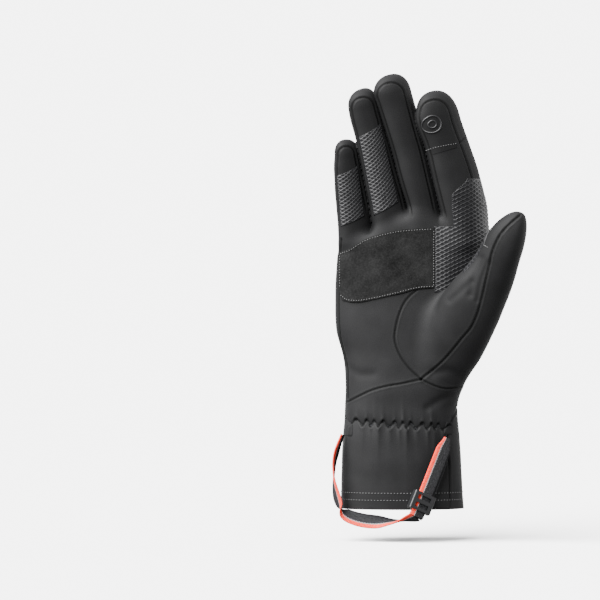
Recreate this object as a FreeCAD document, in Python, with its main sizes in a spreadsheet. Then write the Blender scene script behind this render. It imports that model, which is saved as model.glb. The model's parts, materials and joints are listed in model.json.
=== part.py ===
import FreeCAD, Part
import math
import os

import Sketcher
from FreeCAD import Placement, Rotation, Vector

# A thin softshell ski glove for the right hand, drawn as its sewn panels, with its wrist leash.
# Origin: centre of the cuff opening. +Z runs to the fingertips, the palm faces -Y, the thumb is at +X.
# The hand, the four fingers and the thumb are hollow lofts of ellipses. Flat cuts divide each of them
# into the rigid panels of one body and the bands of fabric that fold over a joint.

FINGERS = ("index", "middle", "ring", "little")
HAND_STATIONS = ("hem", "sleeve", "gather", "wrist", "heel", "thenar", "palm", "web")

SIZES = {
    "wall": 1.6,
    "skin_gap": 0.1,
    "suede_thickness": 0.9,
    "print_thickness": 0.5,
    "cutter": 700,
    # Hand sections: height above the hem, sideways shift of the centre, half width and half depth.
    "hem_height": 0, "hem_shift": -0.2, "hem_half_width": 39.6, "hem_half_depth": 24.5,
    "sleeve_height": 30, "sleeve_shift": -0.2, "sleeve_half_width": 39.2, "sleeve_half_depth": 24.3,
    "gather_height": 57, "gather_shift": -0.5, "gather_half_width": 37, "gather_half_depth": 23,
    "wrist_height": 77, "wrist_shift": 0, "wrist_half_width": 37, "wrist_half_depth": 22,
    "heel_height": 95, "heel_shift": 1.5, "heel_half_width": 39.5, "heel_half_depth": 20.5,
    "thenar_height": 125, "thenar_shift": 3.8, "thenar_half_width": 46, "thenar_half_depth": 19,
    "palm_height": 157, "palm_shift": 6, "palm_half_width": 48.6, "palm_half_depth": 17,
    "web_height": 183, "web_shift": 7.6, "web_half_width": 49.4, "web_half_depth": 13.8,
    # Where the rigid parts of the cuff, the hand and the knuckles begin and end.
    "cuff_top": 62, "hand_start": 92, "hand_end": 157, "knuckles_start": 182, "fingers_start": 183,
    "side_seam_turn": 13.2, "side_seam_lift": 0.5,
    # Bones: root, tip, half width and half depth, distance of the joint from the root, half fold band.
    "index_root_x": 45.5, "index_root_y": 0, "index_root_z": 176,
    "index_tip_x": 18.5, "index_tip_y": -8, "index_tip_z": 272.5,
    "index_half_width": 13.4, "index_half_depth": 11.6, "index_joint": 44.6, "index_fold": 12.2,
    "middle_root_x": 19, "middle_root_y": 0, "middle_root_z": 176,
    "middle_tip_x": -8, "middle_tip_y": -7, "middle_tip_z": 283.8,
    "middle_half_width": 10.6, "middle_half_depth": 10.5, "middle_joint": 49.5, "middle_fold": 11.2,
    "ring_root_x": -5.6, "ring_root_y": 0, "ring_root_z": 176,
    "ring_tip_x": -25.6, "ring_tip_y": -8, "ring_tip_z": 274.4,
    "ring_half_width": 10.1, "ring_half_depth": 10, "ring_joint": 40.7, "ring_fold": 10.7,
    "little_root_x": -30.8, "little_root_y": 0, "little_root_z": 176,
    "little_tip_x": -37.6, "little_tip_y": -8, "little_tip_z": 241.3,
    "little_half_width": 8.7, "little_half_depth": 8.6, "little_joint": 28.1, "little_fold": 9.5,
    "thumb_root_x": 26, "thumb_root_y": -8, "thumb_root_z": 88,
    "thumb_tip_x": 76, "thumb_tip_y": -46, "thumb_tip_z": 192,
    "thumb_half_width": 14.3, "thumb_half_depth": 13.2,
    "thumb_clearance": 0.8, "thumb_base_joint": 46, "thumb_base_fold": 7,
    "thumb_joint": 88, "thumb_fold": 8.8,
    # A finger's root flares slightly; the thumb's swells out of the heel of the hand.
    "finger_root_share": 1.03, "thumb_root_share": 0.4, "tip_share": 0.93,
    # Where a finger's palm panel and back panel end, as a share of its half depth.
    "seam_share": 0.35,
    # Overlays on the palm side: heights along Z, or distances along a bone.
    "palm_side_limit": -4, "patch_bottom": 137, "patch_top": 181.5, "patch_left": -41.5,
    "palm_print_left": 20.5, "side_grip_right": 70,
    "index_grip_start": 13, "index_grip_end": 31.5,
    "ring_print_start": 17, "ring_print_end": 74,
    "little_print_start": 14, "little_print_end": 43,
    "touch_patch_start": 62, "touch_patch_end": 94,
    "emblem_distance": 78.5, "emblem_radius": 5.7, "emblem_width": 0.9,
    "emblem_seat_share": 0.95, "emblem_gap": 0.22,
    "thumb_pad_start": 77, "thumb_pad_end": 108,
    "gusset_x": 27, "gusset_z": 113, "gusset_half_width": 18, "gusset_half_height": 29,
    "hole_x": 37.5, "hole_z": 111, "hole_half_width": 7, "hole_half_height": 13, "hole_lean": 25.7,
    "radial_seam_x": 46.5,
    "mark_left": -30, "mark_right": -2, "mark_bottom": 144, "mark_top": 151,
    # Cuff trim.
    "hem_facing_height": 13, "hem_facing_thickness": 1,
    "stitch_low": 6.2, "stitch_high": 10.8, "stitch_height": 0.6, "stitch_proud": 0.4,
    "elastic_bottom": 53, "elastic_top": 61, "elastic_thickness": 1,
    "anchor_width": 10.5, "anchor_thickness": 1.4, "anchor_height": 9, "anchor_standoff": 1.6,
    "little_anchor_x": -36, "little_anchor_z": 49, "thumb_anchor_x": 27, "thumb_anchor_z": 50,
    # Leash: a webbing loop, two flat layers up to the thumb-side anchor, and the slider on them.
    "webbing_diameter": 4, "strap_width": 9.4, "strap_thickness": 1.3, "strap_spacing": 1.9,
    "strap_start": -10, "strap_step": 2, "strap_end": 45.5,
    "slider_width": 15, "slider_depth": 6.6, "slider_height": 12,
    "slot_width": 10.6, "slot_depth": 4.1, "slider_fillet": 1,
    "window_width": 9, "window_height": 3, "window_offset": 2.6,
}

doc = FreeCAD.newDocument("ski_glove")
dims = doc.addObject("Spreadsheet::Sheet", "Dims")
for row, (alias, number) in enumerate(SIZES.items(), start=1):
    dims.set(f"A{row}", alias)
    dims.set(f"B{row}", str(number))
    dims.setAlias(f"B{row}", alias)
doc.recompute()

nodes = []


def size(expression):
    """The present value of an expression over the sheet, in millimetres."""
    value = dims.evalExpression(expression)
    return float(getattr(value, "Value", value))


def keep(piece, label):
    """Marks an object as a finished sub-part."""
    piece.Label = label
    nodes.append(piece)
    return piece


def section(name, placement, half_width, half_depth):
    ellipse = doc.addObject("Part::Ellipse", name)
    ellipse.setExpression("MajorRadius", half_width)
    ellipse.setExpression("MinorRadius", half_depth)
    ellipse.Placement = placement
    return ellipse


def loft(name, sections):
    body = doc.addObject("Part::Loft", name)
    body.Sections = sections
    body.Solid = True
    body.Ruled = True
    return body


def cut(name, base, tool):
    result = doc.addObject("Part::Cut", name)
    result.Base = base
    result.Tool = tool
    return result


def common(name, *shapes):
    result = doc.addObject("Part::MultiCommon", name)
    result.Shapes = list(shapes)
    return result


def fuse(name, *shapes):
    result = doc.addObject("Part::MultiFuse", name)
    result.Shapes = list(shapes)
    return result


def block(name, frame, corner, extent):
    """A box whose corner and extent are expressions, set in a local frame."""
    box = doc.addObject("Part::Box", name)
    for side, expression in zip(("Length", "Width", "Height"), extent):
        box.setExpression(side, expression)
    box.Placement = frame.multiply(Placement(Vector(*(size(c) for c in corner)), Rotation()))
    return box


WORLD = Placement()
CUT = "Dims.cutter"
HALF_CUT = "-Dims.cutter / 2"


def span(name, frame, start, stop):
    """The slab of space between two distances along a frame's Z."""
    return block(name, frame, (HALF_CUT, HALF_CUT, start), (CUT, CUT, f"({stop}) - ({start})"))


def side(name, frame, level, sign):
    """The half of space on one side of a level of a frame's Y."""
    corner = level if sign > 0 else f"{level} - Dims.cutter"
    return block(name, frame, (HALF_CUT, corner, HALF_CUT), (CUT, CUT, CUT))


def flank(name, frame, sign):
    """The half of space on one side of a frame's X = 0."""
    corner = "0" if sign > 0 else "-Dims.cutter"
    return block(name, frame, (corner, HALF_CUT, HALF_CUT), (CUT, CUT, CUT))


# The hand: one loft for each layer of the wall, from the hem to the finger crotches.

def hand_layer(name, growth):
    sections = []
    for station in HAND_STATIONS:
        centre = Vector(size(f"Dims.{station}_shift"), 0, size(f"Dims.{station}_height"))
        sections.append(section(f"{name}_{station}", Placement(centre, Rotation()),
                                f"Dims.{station}_half_width + {growth}",
                                f"Dims.{station}_half_depth + {growth}"))
    return loft(name, sections)


def hand_shell(name, outer_growth, inner_growth):
    outer = hand_layer(f"{name}_outer", outer_growth)
    return cut(name, outer, hand_layer(f"{name}_inner", inner_growth))


hand_outer = hand_layer("hand_outer", "0")
hand_wall = cut("hand_wall", hand_outer, hand_layer("hand_inner", "-Dims.wall"))

# The bones: each finger and the thumb is a tapering tube with a round tip.

TIP_ANGLES = (30, 55, 74, 85)


def bone_frame(bone):
    """The frame of a bone: its root, with Z along it and Y towards the back of the hand."""
    root, tip = (Vector(*(size(f"Dims.{bone}_{end}_{axis}") for axis in "xyz")) for end in ("root", "tip"))
    along = tip - root
    across = Vector(0, 1, 0).cross(along)
    return Placement(root, Rotation(across, along.cross(across), along, "ZXY"))


def bone_length(bone):
    return math.dist(*([size(f"Dims.{bone}_{end}_{axis}") for axis in "xyz"] for end in ("root", "tip")))


def bone_layer(bone, name, growth):
    """One layer of a tube: its root, its full width half way up, then a quarter turn of dome."""
    length = bone_length(bone) + size(growth)
    dome = size(f"Dims.{bone}_half_width + {growth}")
    root_share = size("Dims.thumb_root_share" if bone == "thumb" else "Dims.finger_root_share")
    tip_share = size("Dims.tip_share")
    stations = [(0, root_share), ((length - dome) / 2, 1), (length - dome, tip_share)]
    for angle in TIP_ANGLES:
        turn = math.radians(angle)
        stations.append((length - dome * (1 - math.sin(turn)), tip_share * math.cos(turn)))
    frame = bone_frame(bone)
    sections = []
    for number, (distance, share) in enumerate(stations):
        place = frame.multiply(Placement(Vector(0, 0, distance), Rotation()))
        sections.append(section(f"{name}_{number}", place,
                                f"(Dims.{bone}_half_width + {growth}) * {share}",
                                f"(Dims.{bone}_half_depth + {growth}) * {share}"))
    return loft(name, sections)


frames = {bone: bone_frame(bone) for bone in (*FINGERS, "thumb")}
outers = {bone: bone_layer(bone, f"{bone}_outer", "0") for bone in frames}
inners = {bone: bone_layer(bone, f"{bone}_inner", "-Dims.wall") for bone in frames}
walls = {bone: cut(f"{bone}_wall", outers[bone], inners[bone]) for bone in frames}


def overlay(bone, label, thickness, start, stop, level):
    """A thin skin on the palm side of a bone, between two distances and below a level of its Y."""
    outer = bone_layer(bone, f"{label}_outer", f"(Dims.skin_gap + {thickness})")
    skin = cut(f"{label}_skin", outer, bone_layer(bone, f"{label}_inner", "Dims.skin_gap"))
    frame = frames[bone]
    limits = (span(f"{label}_span", frame, start, stop), side(f"{label}_side", frame, level, -1))
    return common(f"{label}_piece", skin, *limits)


# Cuff: a back panel and a palm panel. Their seams run from the little-finger edge to a line that
# lies on the palm side near the thumb, so the plane between them is turned about Z.

seam_frame = Placement(Vector(-size("Dims.hem_half_width"), size("Dims.side_seam_lift"), 0),
                       Rotation(Vector(0, 0, 1), -size("Dims.side_seam_turn")))


def seam_side(name, sign):
    return side(name, seam_frame, "0", sign)


SLABS = (
    ("cuff", "_panel", "0", "Dims.cuff_top"),
    ("wrist_band", "", "Dims.cuff_top", "Dims.hand_start"),
    ("knuckle_band", "", "Dims.hand_end", "Dims.knuckles_start"),
)
for zone, ending, bottom, top in SLABS:
    slab = span(f"{zone}_slab", WORLD, bottom, top)
    for face, sign in (("back", 1), ("palm", -1)):
        half = seam_side(f"{zone}_{face}_half", sign)
        keep(common(f"{zone}_{face}_piece", hand_wall, slab, half), f"{zone}_{face}{ending}")

# Hand panels. The thumb opens through the palm side; the thumb gusset is a teardrop of its own
# round that opening, and the radial gusset runs up the thumb edge of the hand.

FACING_PALM = Rotation(Vector(0, 0, 1), Vector(-1, 0, 0), Vector(0, -1, 0), "ZXY")


def oval_prism(name, half_height, half_width, x, z, lean):
    """An upright oval, leant towards the thumb and run out through the palm side of the hand."""
    outline = doc.addObject("Part::Ellipse", f"{name}_outline")
    outline.setExpression("MajorRadius", half_height)
    outline.setExpression("MinorRadius", half_width)
    place = Placement(Vector(size(x), 0, size(z)), Rotation(Vector(0, 1, 0), size(lean)))
    outline.Placement = place.multiply(Placement(Vector(), FACING_PALM))
    face = doc.addObject("Part::Face", f"{name}_face")
    face.Sources = [outline]
    prism = doc.addObject("Part::Extrusion", f"{name}_prism")
    prism.Base = face
    prism.DirMode = "Custom"
    prism.Dir = Vector(0, -1, 0)
    prism.setExpression("LengthFwd", CUT)
    prism.Solid = True
    return prism


teardrop = oval_prism("teardrop", "Dims.gusset_half_height", "Dims.gusset_half_width",
                      "Dims.gusset_x", "Dims.gusset_z", "0")
thumb_hole = oval_prism("thumb_hole", "Dims.hole_half_height", "Dims.hole_half_width",
                        "Dims.hole_x", "Dims.hole_z", "Dims.hole_lean")
RADIAL = ("Dims.radial_seam_x", HALF_CUT, HALF_CUT)
radial_space = block("radial_space", WORLD, RADIAL, (CUT, CUT, CUT))
MAIN = ("Dims.radial_seam_x - Dims.cutter", HALF_CUT, HALF_CUT)
main_space = block("main_space", WORLD, MAIN, (CUT, CUT, CUT))
hand_slab = span("hand_slab", WORLD, "Dims.hand_start", "Dims.hand_end")
keep(common("hand_back_piece", hand_wall, hand_slab, main_space, seam_side("hand_back_half", 1)),
     "hand_back_panel")
palm_closed = common("palm_closed", hand_wall, hand_slab, main_space, seam_side("hand_palm_half", -1))
palm_wall = cut("palm_wall", palm_closed, thumb_hole)
keep(cut("hand_palm_cut", palm_wall, teardrop), "hand_palm_panel")
keep(common("thumb_gusset_piece", palm_wall, teardrop), "thumb_gusset")
keep(common("radial_gusset_piece", hand_wall, hand_slab, radial_space), "radial_side_gusset")

# Palm overlays: the suede patch and, beside it, the moulded grip that runs on round the edge.

palm_face = side("palm_face", WORLD, "Dims.palm_side_limit", -1)
suede_skin = hand_shell("suede_skin", "(Dims.skin_gap + Dims.suede_thickness)", "Dims.skin_gap")


def palm_window(name, left, right):
    return block(name, WORLD, (left, HALF_CUT, "Dims.patch_bottom"),
                 (f"{right} - ({left})", CUT, "Dims.patch_top - Dims.patch_bottom"))


keep(common("suede_piece", suede_skin, palm_face,
            palm_window("suede_window", "Dims.patch_left", "Dims.palm_print_left")), "palm_suede_patch")
grip_whole = common("palm_grip_whole", suede_skin, palm_face,
                    palm_window("palm_grip_window", "Dims.palm_print_left", "Dims.side_grip_right"))
keep(cut("palm_grip_piece", grip_whole, outers["thumb"]), "palm_grip_print")

mark_skin = hand_shell("mark_skin", "(Dims.skin_gap + Dims.print_thickness)", "Dims.skin_gap")
mark_window = block("mark_window", WORLD, ("Dims.mark_left", "0", "Dims.mark_bottom"),
                    ("Dims.mark_right - Dims.mark_left", CUT, "Dims.mark_top - Dims.mark_bottom"))
keep(common("mark_piece", mark_skin, mark_window), "back_print")

# Fingers. Below the joint a finger has a back panel, a palm panel and side walls; above it the back
# panel wraps the sides and the tip. The little finger's back panel also wraps its outer side.

seam_levels = {bone: f"Dims.{bone}_half_depth * Dims.seam_share" for bone in frames}
above_web = block("above_web", WORLD, (HALF_CUT, HALF_CUT, "Dims.fingers_start"), (CUT, CUT, CUT))
walls_inside = {}


def flank_wall(finger, side_walls, sign):
    """The side wall of a finger that lies on one side of its bone."""
    half = flank(f"{finger}_flank_box_{sign + 1}", frames[finger], sign)
    return common(f"{finger}_flank_{sign + 1}", side_walls, half)


for finger in FINGERS:
    frame = frames[finger]
    high = seam_levels[finger]
    low = f"-{high}"
    joint = f"Dims.{finger}_joint"
    fold = f"Dims.{finger}_fold"
    base_span = span(f"{finger}_base_span", frame, "0", f"{joint} - {fold}")
    base_wall = common(f"{finger}_base_wall", walls[finger], base_span, above_web)
    palm_half = side(f"{finger}_palm_half", frame, low, -1)
    back_half = side(f"{finger}_back_half", frame, high, 1)
    keep(common(f"{finger}_base_palm_piece", base_wall, palm_half), f"{finger}_base_palm")
    side_walls = cut(f"{finger}_side_walls", base_wall, fuse(f"{finger}_faces", palm_half, back_half))
    walls_inside[finger] = {sign: flank_wall(finger, side_walls, sign) for sign in (-1, 1)}
    base_back = common(f"{finger}_base_back_piece", base_wall, back_half)
    if finger == "little":
        base_back = fuse("little_base_back_wrapped", base_back, walls_inside[finger][-1])
    keep(base_back, f"{finger}_base_back")
    fold_span = span(f"{finger}_fold_span", frame, f"{joint} - {fold}", f"{joint} + {fold}")
    keep(common(f"{finger}_fold_piece", walls[finger], fold_span), f"{finger}_knuckle_band")
    tip_span = span(f"{finger}_tip_span", frame, f"{joint} + {fold}", CUT)
    tip_wall = common(f"{finger}_tip_wall", walls[finger], tip_span)
    keep(common(f"{finger}_tip_palm_piece", tip_wall, palm_half), f"{finger}_tip_palm")
    keep(cut(f"{finger}_tip_back_piece", tip_wall, palm_half), f"{finger}_tip_back")

# Between two fingers the facing side walls are one pair of fourchettes.

for outer_finger, inner_finger in (("little", "ring"), ("ring", "middle"), ("middle", "index")):
    pair = doc.addObject("Part::Compound", f"{outer_finger}_{inner_finger}_pair")
    pair.Links = [walls_inside[outer_finger][1], walls_inside[inner_finger][-1]]
    keep(pair, f"{outer_finger}_{inner_finger}_fourchettes")
keep(walls_inside["index"][1], "index_side_gusset")

WEB_CORNER = ("Dims.index_root_x - Dims.cutter", HALF_CUT, HALF_CUT)
web_limit = block("web_limit", WORLD, WEB_CORNER, (CUT, CUT, CUT))
web_plate = common("web_plate", hand_outer, web_limit,
                   span("web_span", WORLD, "Dims.knuckles_start", "Dims.fingers_start"))
keep(cut("web_piece", web_plate, fuse("finger_bores", *(inners[finger] for finger in FINGERS))),
     "finger_crotch_gusset")

print_level = {finger: f"-{seam_levels[finger]}" for finger in FINGERS}
keep(overlay("ring", "ring_print", "Dims.print_thickness", "Dims.ring_print_start",
             "Dims.ring_print_end", print_level["ring"]), "ring_grip_print")
keep(overlay("little", "little_print", "Dims.print_thickness", "Dims.little_print_start",
             "Dims.little_print_end", print_level["little"]), "little_grip_print")
keep(overlay("index", "index_grip", "Dims.suede_thickness", "Dims.index_grip_start",
             "Dims.index_grip_end", print_level["index"]), "index_grip_panel")
keep(overlay("index", "touch_patch", "Dims.print_thickness", "Dims.touch_patch_start",
             "Dims.touch_patch_end", print_level["index"]), "index_touch_patch")

# The touch emblem: a flat ring on the index fingertip, square to the finger's palm side.

emblem_level = "-Dims.index_half_depth * Dims.emblem_seat_share - Dims.print_thickness - Dims.emblem_gap"
emblem_centre = Vector(0, size(emblem_level), size("Dims.emblem_distance"))
emblem_place = frames["index"].multiply(Placement(emblem_centre, Rotation(Vector(1, 0, 0), 90)))


def emblem_disc(name, radius):
    disc = doc.addObject("Part::Cylinder", name)
    disc.setExpression("Radius", radius)
    disc.setExpression("Height", "Dims.print_thickness")
    disc.Placement = emblem_place
    return disc


keep(cut("emblem_ring", emblem_disc("emblem_disc", "Dims.emblem_radius"),
         emblem_disc("emblem_hole", "Dims.emblem_radius - Dims.emblem_width")), "touch_emblem")

# Thumb. Its root band joins it to the hand; the grip pad lies on the side that faces the index.

thumb_frame = frames["thumb"]
thumb_palm_half = side("thumb_palm_half", thumb_frame, f"-{seam_levels['thumb']}", -1)
BASE_END = "Dims.thumb_base_joint + Dims.thumb_base_fold"
FOLD_START = "Dims.thumb_joint - Dims.thumb_fold"
FOLD_END = "Dims.thumb_joint + Dims.thumb_fold"


def thumb_zone(name, start, stop):
    return common(f"{name}_zone", walls["thumb"], span(f"{name}_span", thumb_frame, start, stop))


root_zone = thumb_zone("thumb_root", "0", BASE_END)
keep(cut("thumb_root_piece", root_zone, hand_outer), "thumb_root_band")
hand_clearance = hand_layer("hand_clearance", "Dims.thumb_clearance")
for part, start, stop in (("base", BASE_END, FOLD_START), ("tip", FOLD_END, CUT)):
    zone = cut(f"thumb_{part}_clear", thumb_zone(f"thumb_{part}", start, stop), hand_clearance)
    keep(common(f"thumb_{part}_palm_piece", zone, thumb_palm_half), f"thumb_{part}_palm")
    keep(cut(f"thumb_{part}_back_piece", zone, thumb_palm_half), f"thumb_{part}_back")
keep(thumb_zone("thumb_fold", FOLD_START, FOLD_END), "thumb_knuckle_band")

pad_skin = cut("pad_skin", bone_layer("thumb", "pad_outer", "(Dims.skin_gap + Dims.suede_thickness)"),
               bone_layer("thumb", "pad_inner", "Dims.skin_gap"))
keep(common("pad_piece", pad_skin, flank("pad_flank", thumb_frame, -1),
            side("pad_palm_limit", thumb_frame, seam_levels["thumb"], -1),
            side("pad_back_limit", thumb_frame, f"-{seam_levels['thumb']}", 1),
            span("pad_span", thumb_frame, "Dims.thumb_pad_start", "Dims.thumb_pad_end")), "thumb_grip_pad")

# Cuff trim: the turned-up hem inside, two rows of stitching outside, and the elastic at the wrist.

FACING = "(-Dims.wall - Dims.skin_gap)"
facing_wall = hand_shell("facing_wall", FACING, f"({FACING} - Dims.hem_facing_thickness)")
keep(common("facing_piece", facing_wall, span("facing_span", WORLD, "0", "Dims.hem_facing_height")),
     "cuff_hem_facing")
stitch_wall = hand_shell("stitch_wall", "(Dims.skin_gap + Dims.stitch_proud)", "Dims.skin_gap")
stitch_rows = [common(f"stitch_row_{level}", stitch_wall,
                      span(f"stitch_span_{level}", WORLD, f"Dims.stitch_{level}",
                           f"Dims.stitch_{level} + Dims.stitch_height")) for level in ("low", "high")]
stitching = doc.addObject("Part::Compound", "hem_stitch_rows")
stitching.Links = stitch_rows
keep(stitching, "hem_stitching")
elastic_wall = hand_shell("elastic_wall", FACING, f"({FACING} - Dims.elastic_thickness)")
keep(common("elastic_piece", elastic_wall, seam_side("elastic_half", -1),
            span("elastic_span", WORLD, "Dims.elastic_bottom", "Dims.elastic_top")), "wrist_elastic")


def on_cuff(x, standoff):
    """A point off the palm side of the cuff, and the outward direction there."""
    half_width = size("Dims.gather_half_width")
    half_depth = size("Dims.gather_half_depth")
    across = (x - size("Dims.gather_shift")) / half_width
    depth = math.sqrt(1 - across ** 2)
    normal = Vector(across / half_width, -depth / half_depth, 0).normalize()
    return Vector(x, -half_depth * depth, 0) + normal * standoff, normal


def anchor(finger):
    """A folded tab that is bartacked flat on the cuff, on the side of the little finger or the thumb."""
    label = f"leash_anchor_{finger}_side"
    point, normal = on_cuff(size(f"Dims.{finger}_anchor_x"), size("Dims.anchor_standoff"))
    sideways = Vector(-normal.y, normal.x, 0)
    frame = Placement(point + Vector(0, 0, size(f"Dims.{finger}_anchor_z")),
                      Rotation(sideways, normal, Vector(0, 0, 1), "ZXY"))
    corner = ("-Dims.anchor_width / 2", "-Dims.anchor_thickness / 2", "0")
    extent = ("Dims.anchor_width", "Dims.anchor_thickness", "Dims.anchor_height")
    keep(block(f"{label}_tab", frame, corner, extent), label)


anchor("little")
anchor("thumb")

# Leash. The loop's route runs from the little-side anchor, out and down, under the hem and up to the
# slider. From there two flat layers run straight up to the thumb-side anchor.

STRAP_LOW = Vector(11.8, -30.6, 5.2)
STRAP_HIGH = Vector(28.4, -21.4, 46)
STRAP_FACE = Vector(0.25, -0.97, 0)
strap_along = (STRAP_HIGH - STRAP_LOW).normalize()
strap_out = (STRAP_FACE - strap_along * STRAP_FACE.dot(strap_along)).normalize()
strap_frame = Placement(STRAP_LOW, Rotation(strap_out.cross(strap_along), strap_out, strap_along, "ZXY"))


def strap(label, shift, start):
    corner = ("-Dims.strap_width / 2", f"{shift} - Dims.strap_thickness / 2", start)
    extent = ("Dims.strap_width", "Dims.strap_thickness", f"Dims.strap_end - ({start})")
    keep(block(f"{label}_layer", strap_frame, corner, extent), label)


strap("leash_adjuster_strap", "-Dims.strap_spacing / 2", "Dims.strap_start")
strap("leash_doubled_strap", "Dims.strap_spacing / 2", "Dims.strap_start + Dims.strap_step")

ROUTE = [
    Vector(-41.5, -9.5, 46), Vector(-45.5, -11, 34), Vector(-46, -13, 20), Vector(-44.5, -14.5, 6),
    Vector(-38, -16, -4.5), Vector(-26, -18, -9.8), Vector(-13, -21, -10.8), Vector(-1, -25.5, -9.3),
]


def strap_point(distance):
    shift = size("-Dims.strap_spacing / 2")
    return STRAP_LOW + strap_along * distance + strap_out * shift


route = [*ROUTE, strap_point(size("Dims.strap_start"))]


def rounded_wire(points):
    """Straight runs joined by tangent arcs, each as large as its two runs allow."""
    edges = []
    start = points[0]
    for before, corner, after in zip(points, points[1:], points[2:]):
        inward = (before - corner).normalize()
        outward = (after - corner).normalize()
        turn = math.pi - inward.getAngle(outward)
        reach = 0.45 * min((corner - before).Length, (after - corner).Length)
        radius = reach / math.tan(turn / 2)
        print(f"leash corner {len(edges) // 2}: turn {math.degrees(turn):.0f} deg, radius {radius:.1f} mm")
        first = corner + inward * reach
        last = corner + outward * reach
        to_centre = (inward + outward).normalize()
        centre = corner + to_centre * (radius / math.cos(turn / 2))
        middle = centre - to_centre * radius
        edges.append(Part.LineSegment(start, first).toShape())
        edges.append(Part.Arc(first, middle, last).toShape())
        start = last
    edges.append(Part.LineSegment(start, points[-1]).toShape())
    return Part.Wire(edges)


route_wire = rounded_wire(route)
webbing_radius = size("Dims.webbing_diameter / 2")
profile = Part.Wire(Part.Circle(route[0], route[1] - route[0], webbing_radius).toShape())
webbing = doc.addObject("Part::Feature", "leash_loop")
webbing.Shape = route_wire.makePipeShell([profile], True, False)
keep(webbing, "leash_webbing")
expected = math.pi * webbing_radius ** 2 * route_wire.Length
print(f"leash route {route_wire.Length:.1f} mm, volume {webbing.Shape.Volume:.1f} of {expected:.1f} mm3")

# Slider: a moulded sleeve round both layers, with two windows in its front that leave a bar.

slider = doc.addObject("PartDesign::Body", "slider_body")


def rectangle(name, role, width, height, centre_y="0"):
    """A sketch of one rectangle on an origin plane of the slider, centred sideways, with bound sizes."""
    sketch = slider.newObject("Sketcher::SketchObject", name)
    plane = next(feature for feature in slider.Origin.OriginFeatures if feature.Role == role)
    sketch.AttachmentSupport = [(plane, "")]
    sketch.MapMode = "FlatFace"
    half = size(width) / 2
    low = size(f"{centre_y} - {height} / 2")
    high = low + size(height)
    corners = [Vector(-half, low), Vector(half, low), Vector(half, high), Vector(-half, high)]
    for start, end in zip(corners, corners[1:] + corners[:1]):
        sketch.addGeometry(Part.LineSegment(start, end))
    for line, direction in enumerate(("Horizontal", "Vertical") * 2):
        sketch.addConstraint(Sketcher.Constraint("Coincident", line, 2, (line + 1) % 4, 1))
        sketch.addConstraint(Sketcher.Constraint(direction, line))
    bound = (("width", ("DistanceX", 0, 1, 0, 2), width),
             ("height", ("DistanceY", 1, 1, 1, 2), height),
             ("half_width", ("DistanceX", -1, 1, 0, 2), f"{width} / 2"),
             ("top", ("DistanceY", -1, 1, 2, 1), f"{centre_y} + {height} / 2"))
    for label, places, expression in bound:
        index = sketch.addConstraint(Sketcher.Constraint(*places, size(expression)))
        sketch.renameConstraint(index, label)
        sketch.setExpression(f"Constraints.{label}", expression)
    return sketch


def pocket(sketch, length, both_ways):
    """Cuts a sketch out of the slider and checks that it took material away."""
    before = slider.Shape.Volume
    feature = slider.newObject("PartDesign::Pocket", f"{sketch.Name}_pocket")
    feature.Profile = sketch
    feature.setExpression("Length", length)
    feature.Midplane = both_ways
    doc.recompute()
    if slider.Shape.Volume > before - 1:
        raise RuntimeError(f"{sketch.Name} cut nothing")


sleeve = slider.newObject("PartDesign::Pad", "slider_sleeve")
sleeve.Profile = rectangle("slider_outline", "XY_Plane", "Dims.slider_width", "Dims.slider_depth")
sleeve.setExpression("Length", "Dims.slider_height")
sleeve.Midplane = True
doc.recompute()
rounding = slider.newObject("PartDesign::Fillet", "slider_rounding")
upright = [f"Edge{number}" for number, edge in enumerate(sleeve.Shape.Edges, start=1)
           if abs(edge.tangentAt(edge.FirstParameter).z) > 0.99]
rounding.Base = (sleeve, upright)
rounding.setExpression("Radius", "Dims.slider_fillet")
doc.recompute()
slot = rectangle("slider_slot", "XY_Plane", "Dims.slot_width", "Dims.slot_depth")
pocket(slot, "2 * Dims.slider_height", True)
for name, centre in (("low", "(-Dims.window_offset)"), ("high", "Dims.window_offset")):
    window = rectangle(f"slider_window_{name}", "XZ_Plane", "Dims.window_width", "Dims.window_height", centre)
    pocket(window, "Dims.slider_depth", False)
slider.Placement = strap_frame
keep(slider, "leash_slider")

# Checks, then one file for each sub-part.

doc.recompute()
failed = [thing.Name for thing in doc.Objects if {"Invalid", "Error"} & set(thing.State)]
failed += [piece.Label for piece in nodes if piece.Shape.isNull() or not piece.Shape.isValid()]
failed += [piece.Label for piece in nodes if not piece.Shape.Solids]
if failed:
    raise RuntimeError(f"not built: {failed}")
os.makedirs("parts", exist_ok=True)
for piece in nodes:
    piece.Shape.exportStep(f"parts/{piece.Label}.step")
    print(f"{piece.Label}: {len(piece.Shape.Solids)} solid, {piece.Shape.Volume:.0f} mm3")
print(f"{len(nodes)} sub-parts")
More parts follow.
